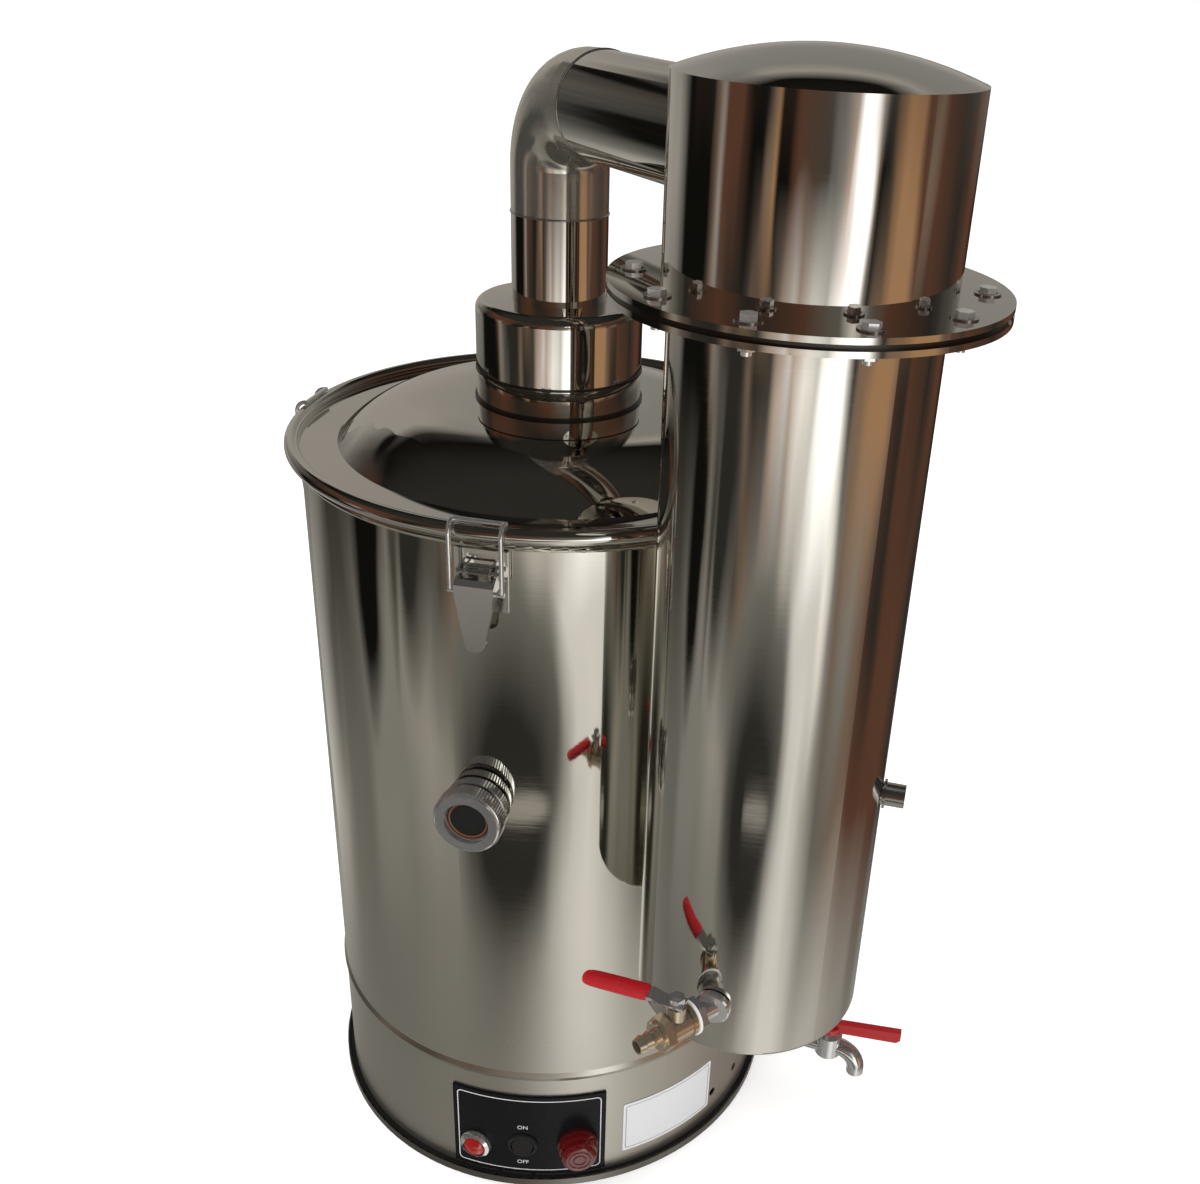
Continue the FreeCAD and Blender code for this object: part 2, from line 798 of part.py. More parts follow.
def heating_elements():
    loops = []
    foot = SWAGE_HEIGHT - S.floor_dish - S.heater_tail
    top = SWAGE_HEIGHT - S.floor_dish + S.heater_rise
    for k in range(int(S.heater_count.value)):
        part = new_body(f"heater_loop_{k}")
        path = new_sketch(part, "YZ_Plane", S.heater_reach)
        inner = S.heater_leg - S.heater_bend
        draw(path, [(-S.heater_leg, foot), (-S.heater_leg, top - S.heater_bend),
                    Bend(-inner, top - S.heater_bend, left=False), (-inner, top), (inner, top),
                    Bend(inner, top - S.heater_bend, left=False), (S.heater_leg, top - S.heater_bend),
                    (S.heater_leg, foot)], closed=False)
        profile = new_sketch(part, "XY_Plane", foot)
        draw_circle(profile, S.heater_reach, -S.heater_leg, S.heater_tube)
        sweep(part, profile, path)
        loops.append(place(part, angle=share(360, k, S.heater_count)))
    return group("heating_elements", loops)


def heater_nuts():
    nuts = []
    top = SWAGE_HEIGHT - S.floor_dish - S.sheet_thick - S.seat_gap
    for k in range(int(S.heater_count.value)):
        for side in (-1, 1):
            part = new_body(f"heater_nut_{k}_{side}")
            drawing = new_sketch(part, "XY_Plane", top - S.heater_nut_thick)
            draw_hexagon(drawing, S.heater_reach, side * S.heater_leg, S.heater_nut_flats)
            draw_circle(drawing, S.heater_reach, side * S.heater_leg, S.heater_tube + S.seat_gap)
            raise_up(part, drawing, S.heater_nut_thick)
            nuts.append(place(part, angle=share(360, k, S.heater_count)))
    return group("heater_nuts", nuts)


# Level probe on the boiler floor and the contactor on the pan below it

def level_probe():
    foot = SWAGE_HEIGHT - S.floor_dish + S.seat_gap
    part = turned("level_probe", [(0, foot), (3 * S.probe_radius, foot),
                                  (3 * S.probe_radius, foot + 2 * S.probe_radius),
                                  (2 * S.probe_radius, foot + 3 * S.probe_radius),
                                  (2 * S.probe_radius, foot + 10 * S.probe_radius),
                                  (S.probe_radius, foot + 10 * S.probe_radius),
                                  (S.probe_radius, foot + S.probe_length),
                                  (0, foot + S.probe_length)],
                  S.probe_reach * cosine(S.probe_angle), S.probe_reach * sine(S.probe_angle))
    return part


def contactor():
    part = new_body("contactor")
    drawing = new_sketch(part, "XZ_Plane")
    half = S.contactor_long / 2
    base = S.pan_thick
    shoulder = base + S.contactor_tall - S.contactor_shoulder
    draw(drawing, [(-half, base), (half, base), (half, shoulder), (half - S.contactor_shoulder, shoulder),
                   (half - S.contactor_shoulder, base + S.contactor_tall),
                   (S.contactor_shoulder - half, base + S.contactor_tall),
                   (S.contactor_shoulder - half, shoulder), (-half, shoulder)])
    raise_up(part, drawing, S.contactor_wide, middle=True)
    return place(part)


# Lid: a beaded edge, a flat shelf, a shallow dome and the collar for the neck

def lid():
    part = new_body("lid")
    thick = S.sheet_thick
    inner = S.neck_radius - thick
    crown_inner = DOME_CENTRE - thick + root(S.dome_sphere * S.dome_sphere - inner * inner)
    drawing = new_sketch(part, "XZ_Plane")
    draw(drawing, [(inner, crown_inner), Bend(0, DOME_CENTRE - thick, left=False),
                   (DOME_EDGE, LID_SHELF - thick), (LID_BEAD_REACH, LID_SHELF - thick),
                   (LID_BEAD_REACH, LID_SHELF), (DOME_EDGE, LID_SHELF), Bend(0, DOME_CENTRE),
                   (S.neck_radius, LID_CROWN), (S.neck_radius, NECK_JOINT - S.neck_ring),
                   (inner, NECK_JOINT - S.neck_ring)])
    turn(part, drawing)
    bead = new_sketch(part, "XZ_Plane")
    draw_circle(bead, LID_BEAD_REACH, LID_BEAD_HEIGHT, S.lid_bead)
    turn(part, bead)
    return place(part)


def lid_gasket():
    low = S.drum_top + S.rim_bead + S.part_gap
    high = LID_SHELF - S.sheet_thick - S.seat_gap
    outer = S.drum_radius + S.sheet_thick
    return turned("lid_gasket", ring_path(outer - S.gasket_wide, outer, low, high))


# Neck above the lid, with its joint ring, and the steam pipe to the condenser

def neck_ring():
    part = new_body("neck_ring")
    drawing = new_sketch(part, "XZ_Plane")
    draw_box(drawing, S.neck_radius - S.sheet_thick, NECK_JOINT - S.neck_ring,
             S.neck_radius + S.neck_ring, NECK_JOINT + S.neck_ring)
    turn(part, drawing)
    return place(part)


def neck_chamber():
    thick = S.sheet_thick
    inner = S.neck_radius - thick
    shoulder = NECK_SHOULDER
    flat = shoulder + S.neck_round
    bore = S.pipe_radius + S.seat_gap
    return turned("neck_chamber", [
        (inner, NECK_JOINT + S.neck_ring), (S.neck_radius, NECK_JOINT + S.neck_ring),
        (S.neck_radius, shoulder), Bend(S.neck_radius - S.neck_round, shoulder),
        (S.neck_radius - S.neck_round, flat), (bore, NECK_TOP), (bore, NECK_TOP - thick),
        (S.neck_radius - S.neck_round, flat - thick),
        Bend(S.neck_radius - S.neck_round, shoulder, left=False), (inner, shoulder)])


def steam_riser():
    return turned("steam_riser", ring_path(S.pipe_radius - S.sheet_thick, S.pipe_radius,
                                           NECK_TOP - 4 * S.sheet_thick, RISER_TOP))


def steam_elbow():
    part = bent_pipe("steam_elbow", (as_size(0), RISER_TOP), S.bend_radius,
                     (ELBOW_END, CROSSOVER_HEIGHT), S.pipe_radius, S.sheet_thick, True)
    return place(part)


def steam_crossover():
    part = new_body("steam_crossover")
    drawing = new_sketch(part, "YZ_Plane", ELBOW_END)
    draw_circle(drawing, 0, 0, S.pipe_radius)
    draw_circle(drawing, 0, 0, S.pipe_radius - S.sheet_thick)
    raise_up(part, drawing, TOWER - PIPE_ENTRY - ELBOW_END)
    return place(part, z=CROSSOVER_HEIGHT)


# Condenser cap with its flange, and the shell with the matching flange

def flange_height():
    return FLANGE_BASE + S.flange_thick + S.flange_gasket_thick


def bolt_holes(part, height):
    drawing = new_sketch(part, "XY_Plane", height)
    draw_circle(drawing, BOLT_REACH * cosine(S.bolt_angle), BOLT_REACH * sine(S.bolt_angle),
                S.bolt_shank + S.bore_gap)
    hole = cut_deep(part, drawing, 2 * S.flange_thick)
    return repeat(part, [hole], S.bolt_count)


def condenser_cap():
    part = new_body("cap_shell")
    thick = S.sheet_thick
    low = flange_height()
    high = low + S.flange_thick
    inner = CAP_RADIUS - thick
    sphere = (CAP_RADIUS * CAP_RADIUS + S.cap_dome * S.cap_dome) / (2 * S.cap_dome)
    centre = CAP_RIM + S.cap_dome - sphere
    edge = centre - thick + root(sphere * sphere - inner * inner)
    drawing = new_sketch(part, "XZ_Plane")
    draw(drawing, [(inner, low), (FLANGE_RADIUS, low), (FLANGE_RADIUS, high),
                   (CAP_RADIUS, high), (CAP_RADIUS, CAP_RIM), Bend(0, centre),
                   (0, CAP_RIM + S.cap_dome), (0, CAP_RIM + S.cap_dome - thick),
                   Bend(0, centre - thick, left=False), (inner, edge)])
    turn(part, drawing)
    bolt_holes(part, high + S.flange_thick / 2)
    place(part, TOWER)
    port = new_body("cap_port")
    circle = new_sketch(port, "YZ_Plane", S.bend_radius)
    draw_circle(circle, 0, 0, S.pipe_radius + S.seat_gap)
    raise_up(port, circle, TOWER - S.bend_radius)
    place(port, z=CROSSOVER_HEIGHT)
    return cut_away("condenser_cap", part, [port])


def flange_gasket():
    part = new_body("flange_gasket")
    low = FLANGE_BASE + S.flange_thick
    drawing = new_sketch(part, "XZ_Plane")
    outer = FLANGE_RADIUS - S.flange_gasket_inset
    draw(drawing, ring_path(S.shell_radius, outer, low, low + S.flange_gasket_thick))
    turn(part, drawing)
    bolt_holes(part, low + S.flange_gasket_thick + S.flange_thick / 2)
    return place(part, TOWER)


def condenser_shell():
    part = new_body("shell_skin")
    inner = S.shell_radius - S.sheet_thick
    flange_top = FLANGE_BASE + S.flange_thick
    foot = SHELL_BOTTOM + 3 * S.sheet_thick
    lip = S.shell_radius - 3 * S.sheet_thick
    drawing = new_sketch(part, "XZ_Plane")
    draw(drawing, [(lip, SHELL_BOTTOM), Bend(lip, foot), (S.shell_radius, foot),
                   (S.shell_radius, FLANGE_BASE), (FLANGE_RADIUS, FLANGE_BASE),
                   (FLANGE_RADIUS, flange_top), (inner, flange_top), (inner, foot),
                   Bend(lip, foot, left=False), (lip, SHELL_BOTTOM + S.sheet_thick)])
    turn(part, drawing)
    bolt_holes(part, flange_top + S.flange_thick / 2)
    place(part, TOWER)
    start = S.shell_radius - 4 * S.sheet_thick
    end = S.shell_radius + 4 * S.sheet_thick
    tools = [
        drill("outlet_hole", S.outlet_pipe + S.seat_gap, start, end, TOWER, OUTLET_HEIGHT,
              S.outlet_angle),
        drill("inlet_hole", S.inlet_pipe + S.seat_gap, INLET_START - 2 * S.inlet_pipe,
              INLET_START + 2 * S.inlet_pipe, *INLET_PLACE),
        drill("return_hole", S.return_radius + S.seat_gap, start, end, TOWER, RETURN_HEIGHT,
              return_angle()),
    ]
    return cut_away("condenser_shell", part, tools)


def condenser_floor():
    outer = S.shell_radius - S.sheet_thick - S.seat_gap
    low = SHELL_BOTTOM + S.shell_floor_lift
    plate = turned("floor_disc", [(0, low), (outer, low + S.sheet_thick),
                                  (outer, low + 2 * S.sheet_thick), (0, low + S.sheet_thick)], TOWER)
    port = new_body("spout_port")
    drawing = new_sketch(port, "XY_Plane", SHELL_BOTTOM - S.spout_drop)
    draw_circle(drawing, S.spout_reach, 0, S.spout_radius + S.seat_gap)
    raise_up(port, drawing, 2 * S.spout_drop)
    place(port, TOWER)
    return cut_away("condenser_floor", plate, [port])


def distillate_spout():
    part = new_body("distillate_spout")
    drawing = new_sketch(part, "XY_Plane", SHELL_BOTTOM - S.spout_drop)
    draw_circle(drawing, S.spout_reach, 0, S.spout_radius)
    draw_circle(drawing, S.spout_reach, 0, S.spout_radius - S.sheet_thick)
    raise_up(part, drawing, S.spout_drop + S.shell_floor_lift + 2 * S.sheet_thick)
    collar = new_sketch(part, "XY_Plane", SHELL_BOTTOM + S.shell_floor_lift - S.collar_thick)
    draw_circle(collar, S.spout_reach, 0, S.spout_radius + S.collar_wide)
    draw_circle(collar, S.spout_reach, 0, S.spout_radius - S.sheet_thick)
    raise_up(part, collar, S.collar_thick)
    return place(part, TOWER)


def tube_spots():
    """Places of the tubes in the tower: one on its axis and a ring round it."""
    spots = [(as_size(0), as_size(0))]
    for k in range(int(S.tube_count.value)):
        angle = share(360, k, S.tube_count)
        spots.append((TUBE_PITCH * cosine(angle), TUBE_PITCH * sine(angle)))
    return spots


def tube_plates():
    plates = []
    for name, height in (("upper_plate", UPPER_PLATE_HEIGHT), ("lower_plate", LOWER_PLATE_HEIGHT)):
        part = new_body(name)
        drawing = new_sketch(part, "XY_Plane", height)
        draw_circle(drawing, 0, 0, S.shell_radius - S.sheet_thick - S.seat_gap)
        for x, y in tube_spots():
            draw_circle(drawing, x, y, S.tube_radius + S.seat_gap)
        raise_up(part, drawing, S.sheet_plate_thick)
        plates.append(place(part, TOWER))
    return group("tube_plates", plates)


def condenser_tubes():
    tubes = []
    low = LOWER_PLATE_HEIGHT - S.tube_overhang
    high = UPPER_PLATE_HEIGHT + S.sheet_plate_thick + S.tube_overhang
    for k, (x, y) in enumerate(tube_spots()):
        tubes.append(turned(f"condenser_tube_{k}", ring_path(S.tube_radius - S.sheet_thick, S.tube_radius,
                                                             low, high), TOWER + x, y))
    return group("condenser_tubes", tubes)


def flange_bolts():
    part = new_body("flange_bolts")
    part.AllowCompound = True
    x = BOLT_REACH * cosine(S.bolt_angle)
    y = BOLT_REACH * sine(S.bolt_angle)
    seat = flange_height() + S.flange_thick + S.seat_gap
    head = new_sketch(part, "XY_Plane", seat)
    draw_hexagon(head, x, y, S.bolt_flats)
    top = raise_up(part, head, S.bolt_head)
    shank = new_sketch(part, "XY_Plane", FLANGE_BASE - S.bolt_end)
    draw_circle(shank, x, y, S.bolt_shank)
    stem = raise_up(part, shank, seat - FLANGE_BASE + S.bolt_end)
    repeat(part, [top, stem], S.bolt_count)
    return place(part, TOWER)


def flange_nuts():
    part = new_body("flange_nuts")
    part.AllowCompound = True
    x = BOLT_REACH * cosine(S.bolt_angle)
    y = BOLT_REACH * sine(S.bolt_angle)
    drawing = new_sketch(part, "XY_Plane", FLANGE_BASE - S.seat_gap - S.nut_thick)
    draw_hexagon(drawing, x, y, S.bolt_flats)
    draw_circle(drawing, x, y, S.bolt_shank + S.pin_gap)
    nut = raise_up(part, drawing, S.nut_thick)
    repeat(part, [nut], S.bolt_count)
    return place(part, TOWER)


# Cooling water outlet: a standpipe inside the shell and a stub through its wall

def cooling_outlet():
    pipe = bent_pipe("outlet_run", (STANDPIPE_REACH, STANDPIPE_TOP), S.outlet_bend,
                     (OUTLET_REACH, OUTLET_HEIGHT), S.outlet_pipe, S.sheet_thick, True)
    place(pipe, TOWER, angle=S.outlet_angle)
    low = S.shell_radius + S.wall_gap
    collar = turned_radial("outlet_collar", ring_path(low, low + S.collar_thick, S.outlet_pipe - S.sheet_thick / 2,
                                                      S.outlet_pipe + S.collar_wide),
                           TOWER, OUTLET_HEIGHT, S.outlet_angle)
    return join("cooling_outlet", [pipe, collar])


# Return pipe from the shell, over the open level cup on the boiler

def cup_run():
    """Level distance from the tower axis to the cup axis, along and across."""
    along = CUP_REACH * cosine(S.cup_angle) - TOWER
    across = CUP_REACH * sine(S.cup_angle)
    return along, across


def return_angle():
    along, across = cup_run()
    return 180 + arctangent(across / along)


def return_pipe():
    along, across = cup_run()
    reach = root(along * along + across * across) - S.cup_drain_offset
    part = bent_pipe("return_pipe", (S.shell_radius - 2 * S.sheet_thick, RETURN_HEIGHT), S.return_bend,
                     (reach, RETURN_DIP), S.return_radius, S.sheet_thick, False)
    return place(part, TOWER, angle=return_angle())


def level_cup():
    thick = S.sheet_thick
    cup = turned("cup_bowl", [
        (0, CUP_BOTTOM), (S.cup_radius, CUP_BOTTOM), (S.cup_radius, CUP_TOP - thick),
        (S.cup_radius + thick, CUP_TOP - thick), (S.cup_radius + thick, CUP_TOP),
        (S.cup_radius - thick, CUP_TOP), (S.cup_radius - thick, CUP_BOTTOM + thick),
        (0, CUP_BOTTOM + thick)],
        CUP_REACH * cosine(S.cup_angle), CUP_REACH * sine(S.cup_angle))
    feed = turned_radial("cup_feed", ring_path(S.drum_radius - 3 * thick,
                                               CUP_REACH - S.cup_radius + thick / 2, 0, S.feed_pipe_radius),
                         BOILER, FEED_HEIGHT, S.cup_angle)
    whole = join("cup_whole", [cup, feed])
    bore = drill("cup_feed_bore", S.feed_pipe_radius - thick, S.drum_radius - 6 * thick,
                 CUP_REACH - S.cup_radius + 3 * thick, BOILER, FEED_HEIGHT, S.cup_angle)
    port = new_body("cup_drain_port")
    drawing = new_sketch(port, "XY_Plane", CUP_BOTTOM - 4 * thick)
    draw_circle(drawing, CUP_REACH + S.cup_drain_offset, 0, S.cup_drain_radius + S.seat_gap)
    raise_up(port, drawing, 8 * thick)
    place(port, angle=S.cup_angle)
    return cut_away("level_cup", whole, [bore, port])


def cup_drain():
    part = new_body("cup_drain")
    reach = CUP_REACH + S.cup_drain_offset
    drawing = new_sketch(part, "XY_Plane", CUP_DRAIN_END)
    draw_circle(drawing, reach, 0, S.cup_drain_radius)
    draw_circle(drawing, reach, 0, S.cup_drain_radius - S.sheet_thick)
    raise_up(part, drawing, WATER_LEVEL - CUP_DRAIN_END)
    collar = new_sketch(part, "XY_Plane", CUP_BOTTOM - S.seat_gap - S.collar_thick)
    draw_circle(collar, reach, 0, S.cup_drain_radius + S.collar_wide)
    draw_circle(collar, reach, 0, S.cup_drain_radius - S.sheet_thick)
    raise_up(part, collar, S.collar_thick)
    return place(part, angle=S.cup_angle)


# Toggle latch: base plate with ears, pin, channel lever and wire bail

def latch_plates():
    part = new_body("latch_plates")
    part.AllowCompound = True
    back = S.drum_radius + S.seat_gap
    front = back + S.plate_thick
    face = new_sketch(part, "YZ_Plane", back)
    draw_box(face, -S.plate_half, PLATE_BOTTOM, S.plate_half, PLATE_TOP)
    draw_box(face, -S.slot_half, SLOT_BOTTOM, S.slot_half, SLOT_TOP)
    plate = raise_up(part, face, S.plate_thick)
    inner = S.ear_half - S.plate_thick
    ears = []
    for side in (-1, 1):
        near = side * S.ear_half if side > 0 else -inner
        side_view = new_sketch(part, "XZ_Plane", near)
        draw(side_view, [(front - S.plate_thick / 2, PIVOT_HEIGHT - S.ear_round),
                         (PIVOT_REACH, PIVOT_HEIGHT - S.ear_round),
                         Bend(PIVOT_REACH, PIVOT_HEIGHT),
                         (PIVOT_REACH, PIVOT_HEIGHT + S.ear_round),
                         (front - S.plate_thick / 2, PIVOT_HEIGHT + S.ear_round)])
        draw_circle(side_view, PIVOT_REACH, PIVOT_HEIGHT, S.pivot_pin + S.pin_gap)
        ears.append(raise_up(part, side_view, S.plate_thick, reverse=True))
    repeat(part, [plate] + ears, S.latch_count)
    return place(part, angle=S.latch_angle)


def latch_pins():
    part = new_body("latch_pins")
    part.AllowCompound = True
    drawing = new_sketch(part, "XZ_Plane")
    draw_circle(drawing, PIVOT_REACH, PIVOT_HEIGHT, S.pivot_pin)
    shaft = raise_up(part, drawing, 2 * (S.lever_half + S.pivot_pin), middle=True)
    repeat(part, [shaft], S.latch_count)
    return place(part, angle=S.latch_angle)


def lever_outline(half, tip_round, tip):
    """The blade from its taper to its round tip, seen from the front."""
    centre = tip + tip_round
    return [(-half, LEVER_TAPER), (-tip_round, centre), Bend(0, centre), (tip_round, centre),
            (half, LEVER_TAPER)]


def latch_lever(number):
    part = new_body(f"latch_lever_{number}")
    top = PIVOT_HEIGHT + 2 * S.lever_heel
    heel_front = PIVOT_REACH + S.lever_heel
    heel_back = PIVOT_REACH - S.lever_heel
    side_view = new_sketch(part, "XZ_Plane")
    draw(side_view, [(heel_front, PIVOT_HEIGHT), Bend(PIVOT_REACH, PIVOT_HEIGHT),
                     (heel_back, PIVOT_HEIGHT), (heel_back + S.lever_sheet, HOOK_HEIGHT - S.lever_heel),
                     (HOOK_REACH, HOOK_HEIGHT - 3 * S.lever_heel),
                     (LEVER_FRONT - 2 * S.lever_sheet, LEVER_TIP),
                     (LEVER_FRONT, LEVER_TIP), (LEVER_FRONT, LEVER_SHOULDER)])
    raise_up(part, side_view, 2 * S.lever_half, middle=True)
    # the blade is cut to its outline, and then hollowed from behind
    front_view = new_sketch(part, "YZ_Plane", LEVER_FRONT + S.edge_break)
    draw_box(front_view, -2 * S.lever_half, LEVER_TIP - S.lever_half, 2 * S.lever_half, 2 * top - LEVER_TIP)
    draw(front_view, [(-S.lever_half, top)] + lever_outline(S.lever_half, S.lever_tip_round, LEVER_TIP)
         + [(S.lever_half, top)])
    cut_through(part, front_view)
    inside = S.lever_half - S.lever_sheet
    channel = new_sketch(part, "YZ_Plane", LEVER_FRONT - S.lever_sheet)
    draw(channel, lever_outline(inside, S.lever_tip_round - S.lever_sheet, LEVER_TIP + S.lever_sheet))
    cut_through(part, channel)
    # a sloping roof stays at the head of the blade, and the ears of the plate stand behind it
    roof_end = LEVER_FRONT + S.lever_roof * (heel_front - LEVER_FRONT)
    roof_top = LEVER_SHOULDER + S.lever_roof * (PIVOT_HEIGHT - LEVER_SHOULDER)
    head = new_sketch(part, "XZ_Plane")
    draw(head, [(heel_back - S.edge_break, LEVER_TAPER), (LEVER_FRONT - S.lever_sheet, LEVER_TAPER),
                (LEVER_FRONT - S.lever_sheet, LEVER_SHOULDER - S.lever_sheet / 2),
                (roof_end - S.lever_sheet / 2, roof_top - S.lever_sheet),
                (roof_end + S.lever_sheet, roof_top + S.lever_sheet), (roof_end + S.lever_sheet, top),
                (heel_back - S.edge_break, top)])
    cut_deep(part, head, 2 * inside, middle=True)
    holes = new_sketch(part, "XZ_Plane")
    draw_circle(holes, PIVOT_REACH, PIVOT_HEIGHT, S.pivot_pin + S.pin_gap)
    draw_circle(holes, HOOK_REACH, HOOK_HEIGHT, S.wire_radius + S.pin_gap)
    cut_through(part, holes, middle=True)
    return place(part, angle=S.latch_angle + share(360, number, S.latch_count))


def latch_bail(number):
    part = new_body(f"latch_bail_{number}")
    wrap = HOOK_REACH - LID_BEAD_REACH
    end_x = LID_BEAD_REACH + wrap * cosine(S.bail_wrap)
    end_z = LID_BEAD_HEIGHT + wrap * sine(S.bail_wrap)
    cross = new_sketch(part, "XZ_Plane")
    draw_circle(cross, end_x, end_z, S.wire_radius)
    raise_up(part, cross, 2 * (S.bail_half + S.wire_radius), middle=True)
    path = new_sketch(part, "XZ_Plane", S.bail_half)
    draw(path, [(HOOK_REACH, HOOK_HEIGHT), (HOOK_REACH, LID_BEAD_HEIGHT),
                Bend(LID_BEAD_REACH, LID_BEAD_HEIGHT), (end_x, end_z)], closed=False)
    profile = new_sketch(part, "XY_Plane", HOOK_HEIGHT)
    draw_circle(profile, HOOK_REACH, -S.bail_half, S.wire_radius - S.pin_gap)
    leg = sweep(part, profile, path)
    foot = new_sketch(part, "XZ_Plane", S.bail_half + S.wire_radius)
    draw_circle(foot, HOOK_REACH, HOOK_HEIGHT, S.wire_radius)
    peg = raise_up(part, foot, S.bail_half + S.wire_radius - S.ear_half - S.part_gap, reverse=True)
    mirror = part.newObject("PartDesign::Mirrored", part.Label + "_mirror")
    mirror.Originals = [leg, peg]
    middle = [item for item in part.Origin.OriginFeatures if item.Role == "XZ_Plane"][0]
    mirror.MirrorPlane = (middle, [""])
    part.Tip = mirror
    return place(part, angle=S.latch_angle + share(360, number, S.latch_count))


# Sight glass: barrel through the wall, ring, O-ring, front nut, pane and seal

def sight_glass():
    wall = S.drum_radius + S.wall_gap
    ring_end = wall + S.sight_ring_long
    nut_start = ring_end + S.sight_groove
    nut_end = nut_start + S.sight_nut_long
    inside = S.drum_radius - 4 * S.sheet_thick
    shelf = nut_start + S.sight_groove
    where = (BOILER, S.sight_height, S.sight_angle)
    turned_list = [
        ("sight_glass_body", [(inside, S.sight_bore), (shelf, S.sight_bore), (shelf, S.sight_barrel),
                              (ring_end, S.sight_barrel), (ring_end, S.sight_ring), (wall, S.sight_ring),
                              (wall, S.sight_barrel), (inside, S.sight_barrel)]),
        ("sight_glass_oring", [(ring_end, S.sight_barrel), (nut_start, S.sight_barrel),
                               (nut_start, S.sight_ring - S.wall_gap),
                               (ring_end, S.sight_ring - S.wall_gap)]),
        ("sight_glass_seal", [(shelf, S.sight_bore), (shelf + S.seal_thick, S.sight_bore),
                              (shelf + S.seal_thick, S.sight_barrel), (shelf, S.sight_barrel)]),
        ("sight_glass_pane", [(shelf + S.seal_thick, 0), (shelf + S.seal_thick + S.pane_thick, 0),
                              (shelf + S.seal_thick + S.pane_thick, S.sight_barrel),
                              (shelf + S.seal_thick, S.sight_barrel)]),
        ("sight_glass_nut", [(nut_start, S.sight_barrel + S.seat_gap),
                             (shelf + S.seal_thick + S.pane_thick + S.seat_gap,
                              S.sight_barrel + S.seat_gap),
                             (shelf + S.seal_thick + S.pane_thick + S.seat_gap, S.sight_bore + S.edge_break),
                             (nut_end, S.sight_bore + 2 * S.edge_break), (nut_end, S.sight_nut - S.edge_break),
                             (nut_end - S.edge_break, S.sight_nut), (nut_start + S.edge_break, S.sight_nut),
                             (nut_start, S.sight_nut - S.edge_break)]),
    ]
    for label, path in turned_list:
        keep(turned_radial(label, path, *where))


# Drain tap low on the boiler and the pipe that feeds it

def drain_pipe():
    top = SWAGE_HEIGHT - S.floor_dish + S.sheet_thick
    part = bent_pipe("drain_pipe", (DRAIN_REACH, top), S.drain_bend,
                     (S.drum_radius - 3 * S.sheet_thick, TAP_HEIGHT), S.tap_shank,
                     S.tap_shank - S.tap_bore, True)
    return place(part, angle=S.tap_angle)


def drain_tap_body():
    inside = S.drum_radius - 3 * S.sheet_thick
    wall = S.drum_radius + S.wall_gap
    nut_end = wall + S.tap_nut_thick
    slim = S.tap_body - 2 * S.edge_break
    groove = 2 * S.edge_break
    barrel = turned_radial("tap_barrel", [
        (inside, 0), (TAP_STEM_REACH, 0), (TAP_STEM_REACH, slim),
        (nut_end + 2 * S.tap_body, slim), (nut_end + 2 * S.tap_body - groove, S.tap_body),
        (nut_end + 3 * groove, S.tap_body), (nut_end + 2 * groove, slim), (nut_end, slim),
        (nut_end, S.tap_flats / 2), (wall, S.tap_flats / 2), (wall, S.tap_shank), (inside, S.tap_shank)],
        BOILER, TAP_HEIGHT, S.tap_angle)
    upright_x = TAP_STEM_REACH * cosine(S.tap_angle)
    upright_y = TAP_STEM_REACH * sine(S.tap_angle)
    low = TAP_HEIGHT - S.tap_housing_foot
    high = TAP_HEIGHT + S.tap_housing_top
    housing = turned("tap_housing", [
        (0, low), (S.tap_plug, low), (S.tap_plug, low + S.edge_break), (S.tap_housing, low + 3 * S.edge_break),
        (S.tap_housing, high - 3 * S.edge_break), (S.tap_housing - 3 * S.edge_break, high), (0, high)],
        upright_x, upright_y)
    bend_x = TAP_STEM_REACH + S.tap_housing - 3 * S.edge_break
    mouth = TAP_HEIGHT - S.spout_bend - S.spout_tail
    spout = tap_run("tap_spout", TAP_STEM_REACH, bend_x, mouth, S.spout_tube)
    whole = join("tap_whole", [barrel, housing, spout])
    bore = tap_run("tap_spout_bore", S.drum_radius - 6 * S.sheet_thick, bend_x, mouth - S.spout_tail,
                   S.tap_bore)
    foot = TAP_HEIGHT - S.tap_bore - S.collar_thick
    socket = turned("tap_stem_socket", [(0, foot), (S.tap_stem + S.pin_gap, foot),
                                        (S.tap_stem + S.pin_gap, high + S.edge_break),
                                        (0, high + S.edge_break)], upright_x, upright_y)
    return cut_away("drain_tap_body", whole, [bore, socket])


def tap_run(label, start, bend_x, mouth, radius):
    """A level round bar out of the tap's barrel that turns down to its mouth."""
    part = new_body(label)
    path = new_sketch(part, "XZ_Plane")
    draw(path, [(start, TAP_HEIGHT), (bend_x, TAP_HEIGHT),
                Bend(bend_x, TAP_HEIGHT - S.spout_bend, left=False),
                (bend_x + S.spout_bend, TAP_HEIGHT - S.spout_bend),
                (bend_x + S.spout_bend, mouth)], closed=False)
    profile = new_sketch(part, "YZ_Plane", start)
    draw_circle(profile, 0, TAP_HEIGHT, radius)
    sweep(part, profile, path)
    return place(part, angle=S.tap_angle)


